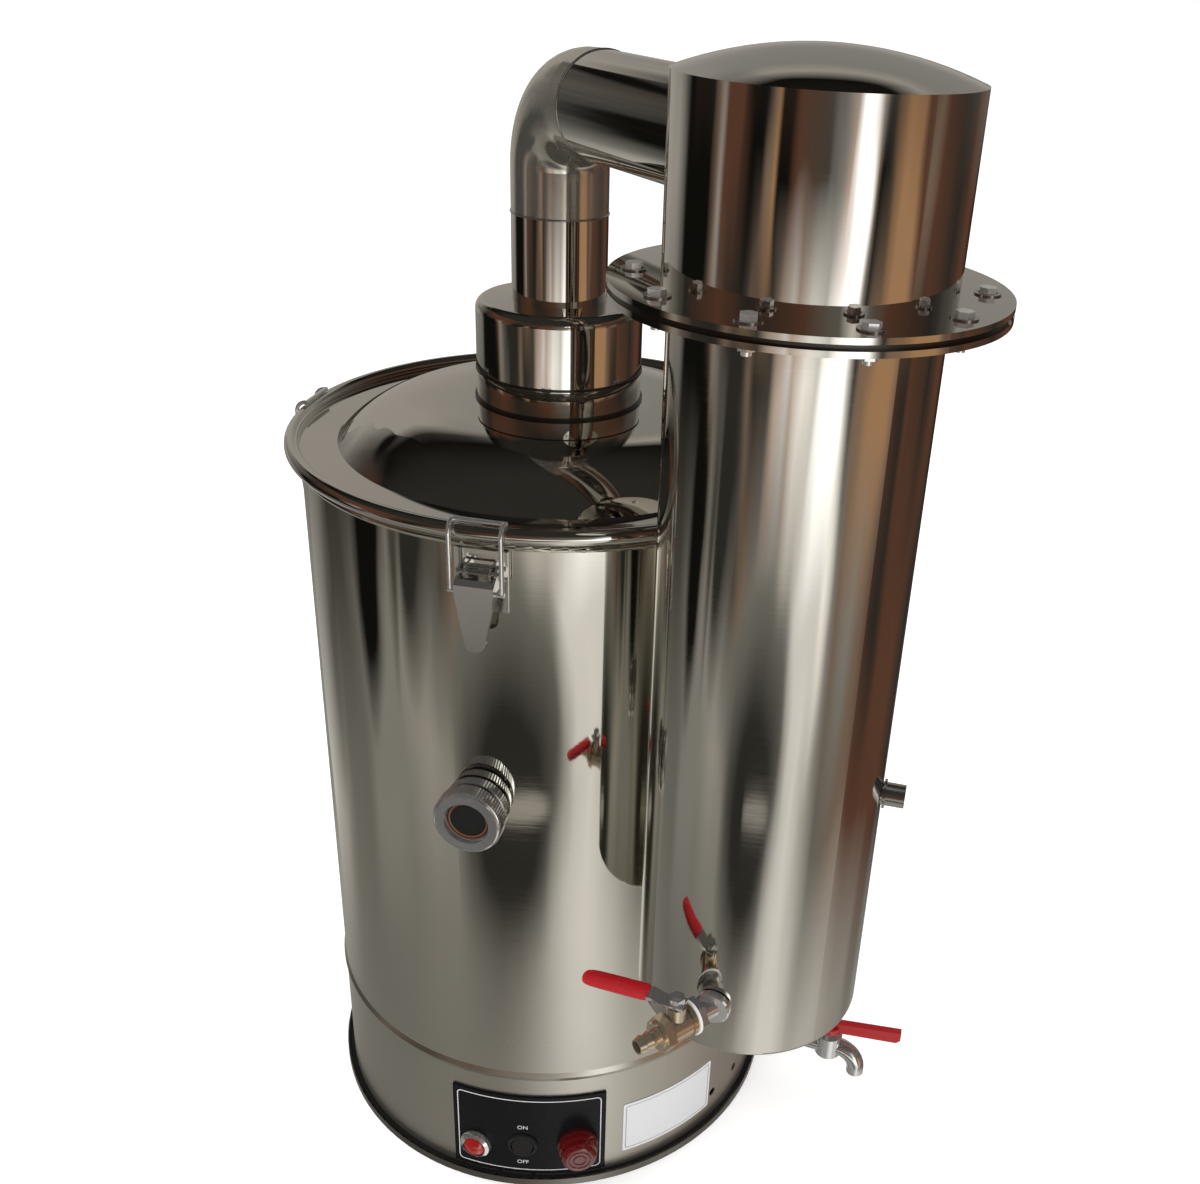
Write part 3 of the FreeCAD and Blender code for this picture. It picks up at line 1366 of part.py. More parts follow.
def drain_tap_lever():
    part = new_body("drain_tap_lever")
    foot = TAP_HEIGHT - S.tap_bore - S.collar_thick + S.part_gap
    seat = TAP_HEIGHT + S.tap_housing_top + S.turn_gap
    top = seat + S.tap_lever_tall
    stem = new_sketch(part, "XZ_Plane")
    draw_box(stem, 0, foot, S.tap_stem, seat + S.edge_break)
    turn(part, stem)
    hub = new_sketch(part, "XY_Plane", seat)
    draw_circle(hub, 0, 0, S.tap_lever_hub)
    raise_up(part, hub, S.tap_lever_tall / 2)
    side_view = new_sketch(part, "XZ_Plane")
    draw(side_view, [(0, seat), (S.tap_lever_long - 3 * S.edge_break, seat),
                     (S.tap_lever_long, seat + 3 * S.edge_break), (S.tap_lever_long, top),
                     (S.tap_stem, top - S.edge_break), (-S.tap_stem, seat + S.tap_lever_tall / 2)])
    raise_up(part, side_view, S.tap_lever_wide, middle=True)
    return place(part, TAP_STEM_REACH * cosine(S.tap_angle), TAP_STEM_REACH * sine(S.tap_angle),
                 angle=S.tap_angle + S.tap_lever_angle)


# Water inlet valve low on the condenser: boss, union nut, washer, body, ball lever and hose barb

def inlet_union():
    start = INLET_START - S.inlet_pipe - S.sheet_thick
    tube = turned_radial("union_tube", ring_path(start, INLET_NUT_END, 0, S.inlet_pipe), *INLET_PLACE)
    wall = S.shell_radius + S.wall_gap
    boss = turned_radial("union_boss", [
        (wall, 0), (wall + S.inlet_boss_tall, 0), (wall + S.inlet_boss_tall, S.inlet_boss - S.edge_break),
        (wall + S.inlet_boss_tall - S.edge_break, S.inlet_boss), (wall, S.inlet_boss)],
        TOWER, INLET_HEIGHT, S.inlet_contact)
    nut = new_body("union_nut")
    drawing = new_sketch(nut, "YZ_Plane", INLET_NUT_START)
    draw_hexagon(drawing, as_size(0), as_size(0), S.inlet_nut_flats)
    raise_up(nut, drawing, S.inlet_nut_long)
    place_beside(nut, *INLET_PLACE)
    whole = join("union_whole", [tube, boss, nut])
    bore = drill("union_bore", S.inlet_bore, start - S.edge_break, INLET_NUT_END + S.edge_break, *INLET_PLACE)
    return cut_away("inlet_union", whole, [bore])


def inlet_washer():
    return turned_radial("inlet_washer", ring_path(INLET_NUT_END, VALVE_START, S.inlet_bore + S.edge_break,
                                                   S.washer_radius), *INLET_PLACE)


def stem_place():
    """Where the upright stem of the valve stands."""
    x = TOWER + VALVE_STEM_REACH * cosine(S.inlet_angle) - INLET_SIDE * sine(S.inlet_angle)
    y = VALVE_STEM_REACH * sine(S.inlet_angle) + INLET_SIDE * cosine(S.inlet_angle)
    return x, y, INLET_HEIGHT


def inlet_valve_body():
    slim = S.valve_radius - S.valve_step
    rim = S.washer_radius - S.valve_step
    rim_end = VALVE_START + 3 * S.edge_break
    flats_start = VALVE_END - S.valve_flats_long - S.edge_break
    barrel = turned_radial("valve_barrel", [
        (VALVE_START, 0), (VALVE_END, 0), (VALVE_END, slim), (flats_start, slim),
        (flats_start - S.valve_step, S.valve_radius), (rim_end + S.valve_step, S.valve_radius),
        (rim_end, slim), (rim_end, rim), (VALVE_START, rim)], *INLET_PLACE)
    gland = turned("valve_gland", [(0, 0), (S.valve_gland, 0), (S.valve_gland, S.valve_gland_top),
                                   (0, S.valve_gland_top)], *stem_place())
    flats = new_body("valve_hexagon")
    drawing = new_sketch(flats, "YZ_Plane", flats_start)
    draw_hexagon(drawing, as_size(0), as_size(0), S.valve_flats)
    raise_up(flats, drawing, S.valve_flats_long)
    place_beside(flats, *INLET_PLACE)
    whole = join("valve_whole", [barrel, gland, flats])
    bore = drill("valve_bore", S.inlet_bore, VALVE_START - S.edge_break, VALVE_END + S.edge_break, *INLET_PLACE)
    ball = doc.addObject("Part::Sphere", "valve_ball_room")
    ball.setExpression("Radius", (S.valve_ball + S.pin_gap).formula)
    place(ball, *stem_place())
    high = S.valve_gland_top + S.edge_break
    socket = turned("valve_stem_socket", [(0, 0), (S.valve_stem + S.pin_gap, 0),
                                          (S.valve_stem + S.pin_gap, high), (0, high)], *stem_place())
    barb_socket = drill("barb_socket", S.barb_radius + S.seat_gap, VALVE_END - S.barb_seat,
                        VALVE_END + S.edge_break, *INLET_PLACE)
    return cut_away("inlet_valve_body", whole, [bore, ball, socket, barb_socket])


def inlet_ball():
    top = HANDLE_LOW + S.handle_thick + S.handle_nut_thick + S.edge_break
    part = new_body("ball_stem")
    drawing = new_sketch(part, "XZ_Plane")
    draw(drawing, [(0, -S.valve_ball), Bend(0, 0), (S.valve_ball, 0), (S.valve_stem, 0),
                   (S.valve_stem, top), (0, top)])
    turn(part, drawing)
    upper = new_sketch(part, "XZ_Plane")
    draw(upper, [(0, 0), (S.valve_ball, 0), Bend(0, 0), (0, S.valve_ball)])
    turn(part, upper)
    place(part, *stem_place())
    bore = new_body("ball_bore")
    circle = new_sketch(bore, "XZ_Plane")
    draw_circle(circle, 0, 0, S.inlet_bore)
    raise_up(bore, circle, 4 * S.valve_ball, middle=True)
    place(bore, *stem_place(), S.inlet_angle + S.handle_angle)
    return cut_away("inlet_ball", part, [bore])


def handle_path(low, thick, start, end):
    """Side view of the cranked handle between two distances from its stem."""
    high = low + S.handle_rise
    lower = [(start, low), (S.handle_bend_start, low), (S.handle_bend_end, high), (end, high)]
    upper = [(end, high + thick), (S.handle_bend_end, high + thick), (S.handle_bend_start, low + thick),
             (start, low + thick)]
    return lower + upper


def inlet_lever():
    part = new_body("inlet_lever")
    side_view = new_sketch(part, "XZ_Plane")
    draw(side_view, handle_path(HANDLE_LOW, S.handle_thick, -S.handle_wide / 2,
                                S.handle_long - 3 * S.edge_break))
    raise_up(part, side_view, S.handle_wide, middle=True)
    hole = new_sketch(part, "XY_Plane")
    draw_circle(hole, 0, 0, S.valve_stem + S.seat_gap)
    cut_through(part, hole, middle=True)
    return place(part, *stem_place(), S.inlet_angle + S.handle_angle)


def inlet_grip():
    part = new_body("inlet_grip")
    middle = HANDLE_LOW + S.handle_rise + S.handle_thick / 2
    front_view = new_sketch(part, "XY_Plane", middle - S.grip_thick / 2)
    half = S.grip_wide / 2
    slim = half - 2 * S.edge_break
    swell = S.grip_start + half
    round_x = S.handle_long - half
    draw(front_view, [(S.grip_start, -slim), (swell, -half), (round_x, -half), Bend(round_x, 0),
                      (round_x, half), (swell, half), (S.grip_start, slim)])
    raise_up(part, front_view, S.grip_thick)
    slot = new_sketch(part, "YZ_Plane", S.grip_start - S.edge_break)
    gap = S.seat_gap
    draw_box(slot, -S.handle_wide / 2 - gap, middle - S.handle_thick / 2 - gap,
             S.handle_wide / 2 + gap, middle + S.handle_thick / 2 + gap)
    cut_deep(part, slot, S.handle_long - 2 * S.edge_break - S.grip_start + gap, reverse=True)
    return place(part, *stem_place(), S.inlet_angle + S.handle_angle)


def inlet_lever_nut():
    part = new_body("inlet_lever_nut")
    drawing = new_sketch(part, "XY_Plane", HANDLE_LOW + S.handle_thick + S.seat_gap)
    draw_hexagon(drawing, as_size(0), as_size(0), S.handle_nut_flats)
    draw_circle(drawing, 0, 0, S.valve_stem + S.pin_gap)
    raise_up(part, drawing, S.handle_nut_thick)
    return place(part, *stem_place(), S.inlet_angle)


def inlet_barb():
    start = VALVE_END - S.barb_seat + S.seat_gap
    face = VALVE_END + S.seat_gap
    neck = face + S.collar_thick
    path = [(start, S.barb_bore), (BARB_END, S.barb_bore)]
    crest = BARB_END
    for k in range(2):
        back = crest - S.barb_pitch + S.edge_break
        path += [(crest, S.barb_radius - S.turn_gap), (back, S.barb_ridge), (back, S.barb_radius)]
        crest = crest - S.barb_pitch
    flange = S.valve_radius - S.valve_step
    path += [(neck, S.barb_radius), (neck, flange), (face, flange), (face, S.barb_radius),
             (start, S.barb_radius)]
    return turned_radial("inlet_barb", path, *INLET_PLACE)


# Control panel on the front of the base, with lamp, rocker switch and alarm

def panel_front():
    return S.drum_radius + S.seat_gap + S.panel_thick


def control_panel():
    part = new_body("panel_plate")
    drawing = new_sketch(part, "XZ_Plane")
    draw(drawing, ring_path(S.drum_radius + S.seat_gap, panel_front(), PANEL_BOTTOM, PANEL_TOP))
    turn(part, drawing, angle=S.panel_span, middle=True)
    place(part, angle=S.panel_angle)
    start = S.drum_radius - 2
    end = S.drum_radius + 2 * S.panel_thick + 2
    tools = [drill("panel_lamp_hole", S.lamp_barrel + S.seat_gap, start, end, BOILER, LAMP_HEIGHT,
                   S.lamp_angle),
             drill("panel_switch_hole", S.switch_bore + S.sheet_thick + S.seat_gap, start, end, BOILER,
                   SWITCH_HEIGHT, S.switch_angle),
             drill("panel_alarm_hole", S.alarm_barrel + S.seat_gap, start, end, BOILER,
                   ALARM_HEIGHT, S.alarm_angle)]
    return cut_away("control_panel", part, tools)


def power_lamp():
    face = panel_front() + 0.1
    inside = S.drum_radius - S.barrel_depth
    where = (BOILER, LAMP_HEIGHT, S.lamp_angle)
    keep(turned_radial("power_lamp_bezel", [
        (inside, 0), (face + 1, 0), (face + 1, S.lamp_lens + 0.6), (face + 5, S.lamp_lens + 0.6),
        (face + 3.5, S.lamp_bezel - 0.6), (face + 1, S.lamp_bezel), (face, S.lamp_bezel),
        (face, S.lamp_barrel), (inside, S.lamp_barrel)], *where))
    sphere = S.lamp_lens * 1.25
    base = face + 4
    centre = base - root(sphere * sphere - S.lamp_lens * S.lamp_lens)
    keep(turned_radial("power_lamp_lens", [
        (face + 1.1, 0), (face + 1.1, S.lamp_lens), (base, S.lamp_lens),
        Bend(centre, 0, left=False), (centre + sphere, 0)], *where))


def rocker_switch():
    face = panel_front() + 0.1
    inside = S.drum_radius - S.barrel_depth
    where = (BOILER, SWITCH_HEIGHT, S.switch_angle)
    floor = face - S.rocker_thick - 2
    reach = face - 0.2
    spot = (reach * cosine(S.switch_angle), reach * sine(S.switch_angle), SWITCH_HEIGHT,
            S.switch_angle)
    barrel = turned_radial("switch_barrel", [
        (inside, 0), (floor, 0), (floor, S.switch_bore), (face + 2, S.switch_bore),
        (face + 2, S.switch_bezel - 1.2), (face + 0.8, S.switch_bezel), (face, S.switch_bezel),
        (face, S.switch_bore + S.sheet_thick), (inside, S.switch_bore + S.sheet_thick)], *where)
    hole = new_body("rocker_pin_hole")
    circle = new_sketch(hole, "XZ_Plane")
    draw_circle(circle, 0, 0, S.rocker_pin + S.pin_gap)
    raise_up(hole, circle, 3 * S.switch_bore, middle=True)
    place(hole, *spot)
    keep(cut_away("switch_bezel", barrel, [hole]))
    part = new_body("rocker_cap")
    drawing = new_sketch(part, "XZ_Plane")
    half = S.rocker_thick / 2
    lean = S.rocker_tilt
    # side view of the rocker leaned back about its pivot, with a shallow hollow in its face
    corners = [(-half, -S.rocker_radius), (half, -S.rocker_radius), (half - 1, 0 * half),
               (half, S.rocker_radius), (-half, S.rocker_radius)]
    leaned = [(x * cosine(lean) - as_size(y) * sine(lean), x * sine(lean) + as_size(y) * cosine(lean))
              for x, y in corners]
    draw(drawing, leaned)
    raise_up(part, drawing, 2 * S.rocker_radius, middle=True)
    place(part, *spot)
    round_off = drill("rocker_round", S.rocker_radius, reach - S.rocker_thick * 2,
                      reach + S.rocker_thick * 2, BOILER, SWITCH_HEIGHT, S.switch_angle)
    key = doc.addObject("Part::Common", "rocker_key")
    key.Base = part
    key.Tool = round_off
    pivot = new_body("rocker_pivot")
    circle = new_sketch(pivot, "XZ_Plane")
    draw_circle(circle, 0, 0, S.rocker_pin)
    raise_up(pivot, circle, 2 * S.switch_bore + S.sheet_thick, middle=True)
    place(pivot, *spot)
    return join("switch_rocker", [key, pivot])


def water_alarm():
    face = panel_front() + 0.1
    inside = S.drum_radius - S.barrel_depth
    where = (BOILER, ALARM_HEIGHT, S.alarm_angle)
    keep(turned_radial("alarm_body", [
        (inside, 0), (face + 4, 0), (face + 4, S.alarm_body - 1), (face + 3, S.alarm_body),
        (face, S.alarm_body), (face, S.alarm_barrel), (inside, S.alarm_barrel)], *where))
    top = face + S.alarm_tall
    keep(turned_radial("alarm_lens", [
        (face + 4.1, 0), (face + 4.1, S.alarm_body - 1), (face + 8, S.alarm_body - 1),
        (face + 9, S.alarm_lens), (top - 4, S.alarm_lens), Bend(top - 4, S.alarm_lens - 4, left=False),
        (top, S.alarm_lens - 4), (top, 0)], *where))


# The whole machine

keep(base_pan())
keep(boiler_wall())
keep(boiler_floor())
keep(heating_elements())
keep(heater_nuts())
keep(level_probe())
keep(contactor())
keep(lid_gasket())
keep(latch_plates())
keep(latch_pins())
for number in range(int(S.latch_count.value)):
    keep(latch_lever(number))
    keep(latch_bail(number))
sight_glass()
keep(level_cup())
keep(cup_drain())
keep(drain_pipe())
keep(drain_tap_body())
keep(drain_tap_lever())
keep(control_panel())
power_lamp()
keep(rocker_switch())
water_alarm()
keep(lid())
keep(neck_ring())
keep(neck_chamber())
keep(steam_riser())
keep(steam_elbow())
keep(steam_crossover())
keep(condenser_cap())
keep(flange_gasket())
keep(condenser_shell())
keep(condenser_floor())
keep(distillate_spout())
keep(tube_plates())
keep(condenser_tubes())
keep(flange_bolts())
keep(flange_nuts())
keep(cooling_outlet())
keep(return_pipe())
keep(inlet_union())
keep(inlet_washer())
keep(inlet_valve_body())
keep(inlet_ball())
keep(inlet_lever())
keep(inlet_grip())
keep(inlet_lever_nut())
keep(inlet_barb())

doc.recompute()

for item in doc.Objects:
    if "Invalid" in item.State or "Error" in item.State:
        raise RuntimeError(f"{item.Label} failed: {item.State}")
unsound = [piece.Label for piece in nodes
           if piece.Shape.isNull() or not piece.Shape.isValid() or not piece.Shape.Solids]
if unsound:
    raise RuntimeError("no sound solid in " + ", ".join(unsound))

os.makedirs("parts", exist_ok=True)
for piece in nodes:
    piece.Shape.exportStep(f"parts/{piece.Label}.step")
    print(piece.Label, len(piece.Shape.Solids), round(piece.Shape.Volume, 1))
print(len(nodes), "nodes")
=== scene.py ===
# %% [markdown]
# # Upright water distiller
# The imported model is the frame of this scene. A boiler drum stands on the floor, a steam pipe runs
# over the top, and a condenser tower hangs beside the drum. The lesson dresses that frame with
# polished and satin steel, so the light and what the steel mirrors matter as much as the shapes.

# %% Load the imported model
import bmesh
import bpy
import json
import math
from mathutils import Matrix, Vector


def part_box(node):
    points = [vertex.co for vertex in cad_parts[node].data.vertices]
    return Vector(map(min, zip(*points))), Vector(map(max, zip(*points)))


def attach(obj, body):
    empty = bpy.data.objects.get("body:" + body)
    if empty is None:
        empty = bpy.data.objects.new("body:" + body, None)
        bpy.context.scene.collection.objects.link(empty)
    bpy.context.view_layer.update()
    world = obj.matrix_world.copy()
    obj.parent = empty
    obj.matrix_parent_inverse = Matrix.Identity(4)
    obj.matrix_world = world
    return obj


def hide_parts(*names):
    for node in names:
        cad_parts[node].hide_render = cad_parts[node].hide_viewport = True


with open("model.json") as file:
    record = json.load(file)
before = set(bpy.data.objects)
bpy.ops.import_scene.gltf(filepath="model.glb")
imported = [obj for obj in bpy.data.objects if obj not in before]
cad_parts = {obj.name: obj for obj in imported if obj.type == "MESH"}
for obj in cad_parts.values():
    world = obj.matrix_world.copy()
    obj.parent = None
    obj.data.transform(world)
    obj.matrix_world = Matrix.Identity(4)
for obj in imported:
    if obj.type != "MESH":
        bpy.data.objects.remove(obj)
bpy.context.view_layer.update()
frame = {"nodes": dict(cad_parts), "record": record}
nodes = frame["nodes"]

# %% [markdown]
# Every new piece is placed in millimetres from the centre of the drum's foot, as on a drawing, and
# a bearing is in degrees round that centre. One helper turns millimetres into Blender's metres, so
# that the other lines can keep the numbers a maker would use. Only the camera, the floor and the
# lamps are set in metres, as a studio would be.

# %% Millimetres
MM = 0.001


def metres(x, y, z):
    return Vector((x * MM, y * MM, z * MM))


# %% [markdown]
# ## The camera
# The camera stands high and close, so the towers taper downwards as in the photograph. It could be
# moved by eye until the view looks right. Fitting the rims and edges of the towers is surer, and
# gives its place and its lens together. A small shift sets the framing.

# %% Camera
IMAGE_WIDE, IMAGE_TALL = 1200, 1184
SENSOR = 36.0


def aim_camera(bearing, distance, height, pitch, yaw, roll, focal_px, centre_px):
    """The distance and height are in metres, angles in degrees, the last two values in pixels."""
    pitch, yaw, roll = math.radians(pitch), math.radians(yaw), math.radians(roll)
    right = Vector((math.cos(yaw), math.sin(yaw), 0.0))
    ahead = Vector((-math.sin(yaw), math.cos(yaw), 0.0))
    up = ahead * math.sin(pitch) + Vector((0, 0, math.cos(pitch)))
    forward = ahead * math.cos(pitch) - Vector((0, 0, math.sin(pitch)))
    side = right * math.cos(roll) + up * math.sin(roll)
    top = up * math.cos(roll) - right * math.sin(roll)
    spin = Matrix.Rotation(math.radians(90.0) + math.radians(bearing), 3, "Z")
    axes = Matrix((spin @ side, spin @ top, spin @ -forward)).transposed()
    place = spin @ Vector((0.0, -distance, 0.0)) + Vector((0, 0, height))
    lens = bpy.data.cameras.new("camera")
    lens.sensor_width = SENSOR
    lens.lens = focal_px / IMAGE_WIDE * SENSOR
    lens.shift_x = (IMAGE_WIDE / 2 - centre_px[0]) / IMAGE_WIDE
    lens.shift_y = (centre_px[1] - IMAGE_TALL / 2) / IMAGE_WIDE
    lens.clip_start = 0.01
    camera = bpy.data.objects.new("camera", lens)
    camera.matrix_world = Matrix.Translation(place) @ axes.to_4x4()
    bpy.context.scene.collection.objects.link(camera)
    bpy.context.scene.camera = camera
    print("camera at", [round(v, 3) for v in place], "lens", round(lens.lens, 2))


aim_camera(bearing=-28.2216, distance=0.8712, height=0.8633, pitch=27.3169, yaw=-7.0833,
           roll=3.4891, focal_px=1298.49, centre_px=(701.56, 608.51))

# %% [markdown]
# ## What the steel mirrors
# Polished steel has hardly a colour of its own. It shows the room: a bright window, a dark doorway,
# warm wood. A picture of a real room could stand in for it, but rings of soft tones round the sky
# need no file, and each can be set where the sheet should be dark or bright. They are seen in
# mirror rays alone, while the matt light on everything else stays plain and white. Straight bands
# would look drawn, so a slow noise bends them a little, the way thin sheet does.

# %% Sums and ranges in a node tree
def math_node(tree, operation, first, second=None, third=None):
    node = tree.nodes.new("ShaderNodeMath")
    node.operation = operation
    for socket, value in zip(node.inputs, (first, second, third)):
        if value is None:
            continue
        if isinstance(value, (int, float)):
            socket.default_value = value
        else:
            tree.links.new(value, socket)
    return node.outputs[0]


def spread(tree, value, low, high, start=0.3, end=0.7):
    """Maps start..end, where most of a noise lies, to low..high."""
    node = tree.nodes.new("ShaderNodeMapRange")
    node.inputs["From Min"].default_value = start
    node.inputs["From Max"].default_value = end
    node.inputs["To Min"].default_value = low
    node.inputs["To Max"].default_value = high
    tree.links.new(value, node.inputs["Value"])
    return node.outputs[0]


# %% Noise and mixed tones
def noise(tree, coords, scale, detail=3.0, stretch=(1, 1, 1), roughness=0.5):
    mapping = tree.nodes.new("ShaderNodeMapping")
    mapping.inputs["Scale"].default_value = stretch
    tree.links.new(coords, mapping.inputs["Vector"])
    texture = tree.nodes.new("ShaderNodeTexNoise")
    texture.inputs["Scale"].default_value = scale
    texture.inputs["Detail"].default_value = detail
    texture.inputs["Roughness"].default_value = roughness
    tree.links.new(mapping.outputs[0], texture.inputs["Vector"])
    return texture.outputs["Fac"]


def mix_tones(tree, share, first, second):
    """Runs from the first tone to the second. Each is a colour or another node's output."""
    mix = tree.nodes.new("ShaderNodeMix")
    mix.data_type = "RGBA"
    tree.links.new(share, mix.inputs["Factor"])
    for socket, tone in ((mix.inputs["A"], first), (mix.inputs["B"], second)):
        if isinstance(tone, tuple):
            socket.default_value = (*tone, 1.0)
        else:
            tree.links.new(tone, socket)
    return mix.outputs["Result"]


# %% [markdown]
# The room needs few tones: a row of warm greys from a dark doorway to a bright window, and four
# browns for wood. Values over one are brighter than white paper. Naming them once keeps the rings
# below readable, and one tone can be changed everywhere at once.

# %% Tones of the room
BLACK = (0.006, 0.006, 0.005)
SHADE = (0.030, 0.028, 0.024)
DUSK = (0.070, 0.064, 0.054)
STONE = (0.165, 0.160, 0.145)
ASH = (0.26, 0.25, 0.23)
CLAY = (0.38, 0.35, 0.32)
LINEN = (0.56, 0.54, 0.51)
CHALK = (0.84, 0.81, 0.78)
PAPER = (1.25, 1.20, 1.14)
GLARE = (2.2, 2.2, 2.2)
UMBER = (0.12, 0.055, 0.034)
SAND = (0.22, 0.155, 0.115)
ROSE = (0.62, 0.48, 0.40)
OAK = (0.44, 0.25, 0.13)
print("greys run from", BLACK[0], "to", GLARE[0])

# %% [markdown]
# Each ring below is what stands round the object at one slope: the table close by, then the room's
# lower half, then its walls and ceiling. A ray that leaves the steel steeply downwards sees the
# table, and a flat one sees the window and the dark doorway. Every pair is a bearing and a tone.

# %% Rings of the room, from the table to the ceiling
ROOM = (
    (-0.70, ((-179, ASH), (-120, STONE), (-75, ASH), (-60, ASH), (-46, CLAY), (-34, LINEN),
             (-22, CHALK), (-8, CHALK), (6, LINEN), (36, LINEN), (60, CLAY), (90, ASH),
             (150, CLAY))),
    (-0.58, ((-179, LINEN), (-158, CLAY), (-147, STONE), (-132, STONE), (-124, ASH), (-104, ASH),
             (-90, CLAY), (-74, ASH), (-65, STONE), (-50, DUSK), (-40, DUSK), (-32, STONE),
             (-24, LINEN), (-14, CHALK), (-6, LINEN), (4, CLAY), (12, STONE), (38, SAND),
             (52, UMBER), (92, UMBER), (112, SHADE), (140, STONE), (165, ASH))),
    (-0.46, ((-179, CLAY), (-165, ASH), (-152, DUSK), (-140, DUSK), (-130, STONE), (-116, ASH),
             (-106, ASH), (-99, CLAY), (-92, ASH), (-84, DUSK), (-76, SAND), (-66, ASH),
             (-56, STONE), (-46, ASH), (-34, CLAY), (-24, CHALK), (-16, CHALK), (-10, CHALK),
             (-2, PAPER), (6, ASH), (14, SAND), (24, ASH), (34, SAND), (44, UMBER), (56, SHADE),
             (66, UMBER), (92, UMBER), (112, SHADE), (140, DUSK), (165, ASH))),
    (-0.30, ((-179, STONE), (-161, STONE), (-150, BLACK), (-122, BLACK), (-116, SAND),
             (-110, STONE), (-104, SHADE), (-90, SHADE), (-82, SAND), (-76, SHADE), (-66, DUSK),
             (-58, ROSE), (-52, CHALK), (-46, ROSE), (-36, PAPER), (-26, CHALK), (-16, GLARE),
             (-7, GLARE), (-1, LINEN), (5, SHADE), (10, SAND), (20, OAK), (32, OAK), (36, SAND),
             (46, UMBER), (56, SHADE), (62, UMBER), (84, SHADE), (106, UMBER), (126, BLACK),
             (165, STONE))),
    (-0.15, ((-165, CLAY), (-150, BLACK), (-126, BLACK), (-118, SAND), (-113, CLAY),
             (-108, UMBER), (-98, UMBER), (-92, BLACK), (-82, BLACK), (-77, SAND), (-71, OAK),
             (-66, BLACK), (-60, BLACK), (-54, UMBER), (-34, DUSK), (-26, ASH), (-18, ROSE),
             (-11, GLARE), (-3, GLARE), (1, SAND), (5, BLACK), (12, SHADE), (22, OAK), (33, OAK),
             (38, UMBER), (48, SAND), (58, UMBER), (84, SHADE), (104, UMBER), (130, BLACK),
             (165, CLAY))),
    (0.10, ((-179, ASH), (-150, SHADE), (-110, UMBER), (-80, SHADE), (-40, UMBER), (-14, STONE),
            (-2, PAPER), (8, STONE), (20, UMBER), (70, SHADE), (110, ASH), (124, CLAY),
            (134, CLAY), (146, CLAY), (166, CLAY))),
    (0.26, ((-179, CLAY), (-150, SHADE), (-110, UMBER), (-80, SHADE), (-40, UMBER), (-14, STONE),
            (-2, CHALK), (8, STONE), (20, UMBER), (70, SHADE), (110, STONE), (122, ASH),
            (132, ASH), (146, ASH), (166, CLAY))),
    (0.50, ((-179, STONE), (-165, SHADE), (-130, UMBER), (-60, SHADE), (0, DUSK), (60, UMBER),
            (110, DUSK), (124, ASH), (146, ASH), (156, ASH), (166, CLAY))),
    (0.58, ((-179, BLACK), (-160, BLACK), (-120, SHADE), (0, SHADE), (108, SHADE), (120, STONE),
            (130, CLAY), (150, CLAY), (158, STONE), (168, SHADE))),
    (0.66, ((-179, BLACK), (-120, SHADE), (0, SHADE), (110, BLACK), (150, BLACK))),
    (0.95, ((-179, SHADE), (0, SHADE))),
)
print(len(ROOM), "rings from slope", ROOM[0][0], "to", ROOM[-1][0])


# %% One ring as a colour ramp
def bearing_share(degrees):
    """Where a bearing lies in the ramp that runs once round the room."""
    return ((degrees + 180.0) % 360.0) / 360.0


def band_ramp(tree, stops):
    ramp = tree.nodes.new("ShaderNodeValToRGB")
    ramp.color_ramp.interpolation = "LINEAR"
    elements = ramp.color_ramp.elements
    elements[0].position, elements[0].color = stops[0][0], (*stops[0][1], 1.0)
    elements[1].position, elements[1].color = stops[-1][0], (*stops[-1][1], 1.0)
    for position, tone in stops[1:-1]:
        elements.new(position).color = (*tone, 1.0)
    return ramp


# %% [markdown]
# Rings alone melt into each other. A few things of the room keep an edge in the steel: two dark
# doorways at the left, the round shadow below the window with one pale spot in it, and a dark beam
# over the pipe. Each row gives its bearing and slope, its half width and half height, its tone, and
# how soft its edge is.

# %% Things with an edge
THINGS = (
    ((-122, -0.40), (8.0, 0.120), BLACK, 0.25),
    ((-107, -0.40), (3.5, 0.085), DUSK, 0.5),
    ((-95, -0.37), (8.0, 0.125), SHADE, 0.3),
    ((-52, -0.530), (29, 0.090), STONE, 0.18),
    ((-50, -0.590), (22, 0.095), SHADE, 0.35),
    ((-42, -0.590), (11, 0.009), CLAY, 0.25),
    ((-172, 0.500), (10, 0.035), BLACK, 0.4),
    ((-146, 0.0), (5, 0.12), BLACK, 0.4),
)


def hang(tree, share, slope, shown, middle, half, tone, soft):
    """Lays one thing over the tones shown so far, as an ellipse."""
    across = math_node(tree, "MULTIPLY_ADD", share, 360.0 / half[0],
                       -bearing_share(middle[0]) * 360.0 / half[0])
    along = math_node(tree, "MULTIPLY_ADD", slope, 1.0 / half[1], -middle[1] / half[1])
    square = math_node(tree, "MULTIPLY_ADD", across, across,
                       math_node(tree, "MULTIPLY", along, along))
    mask = spread(tree, math_node(tree, "SQRT", square), 1.0, 0.0, 1.0 - soft, 1.0 + soft)
    return mix_tones(tree, mask, shown, tone)


print(len(THINGS), "things to hang in the room")

# %% [markdown]
# The rings are blended upwards by the slope of the ray. Its bearing sways and its slope leans with
# the noise, but the things keep their true height, so that their edges stay calm. A light path node
# then shows this room to mirror rays and plain daylight to all others.

# %% The room
SWAY, LEAN = 0.012, 0.03
DAYLIGHT = (1.0, 0.995, 0.985, 1.0)


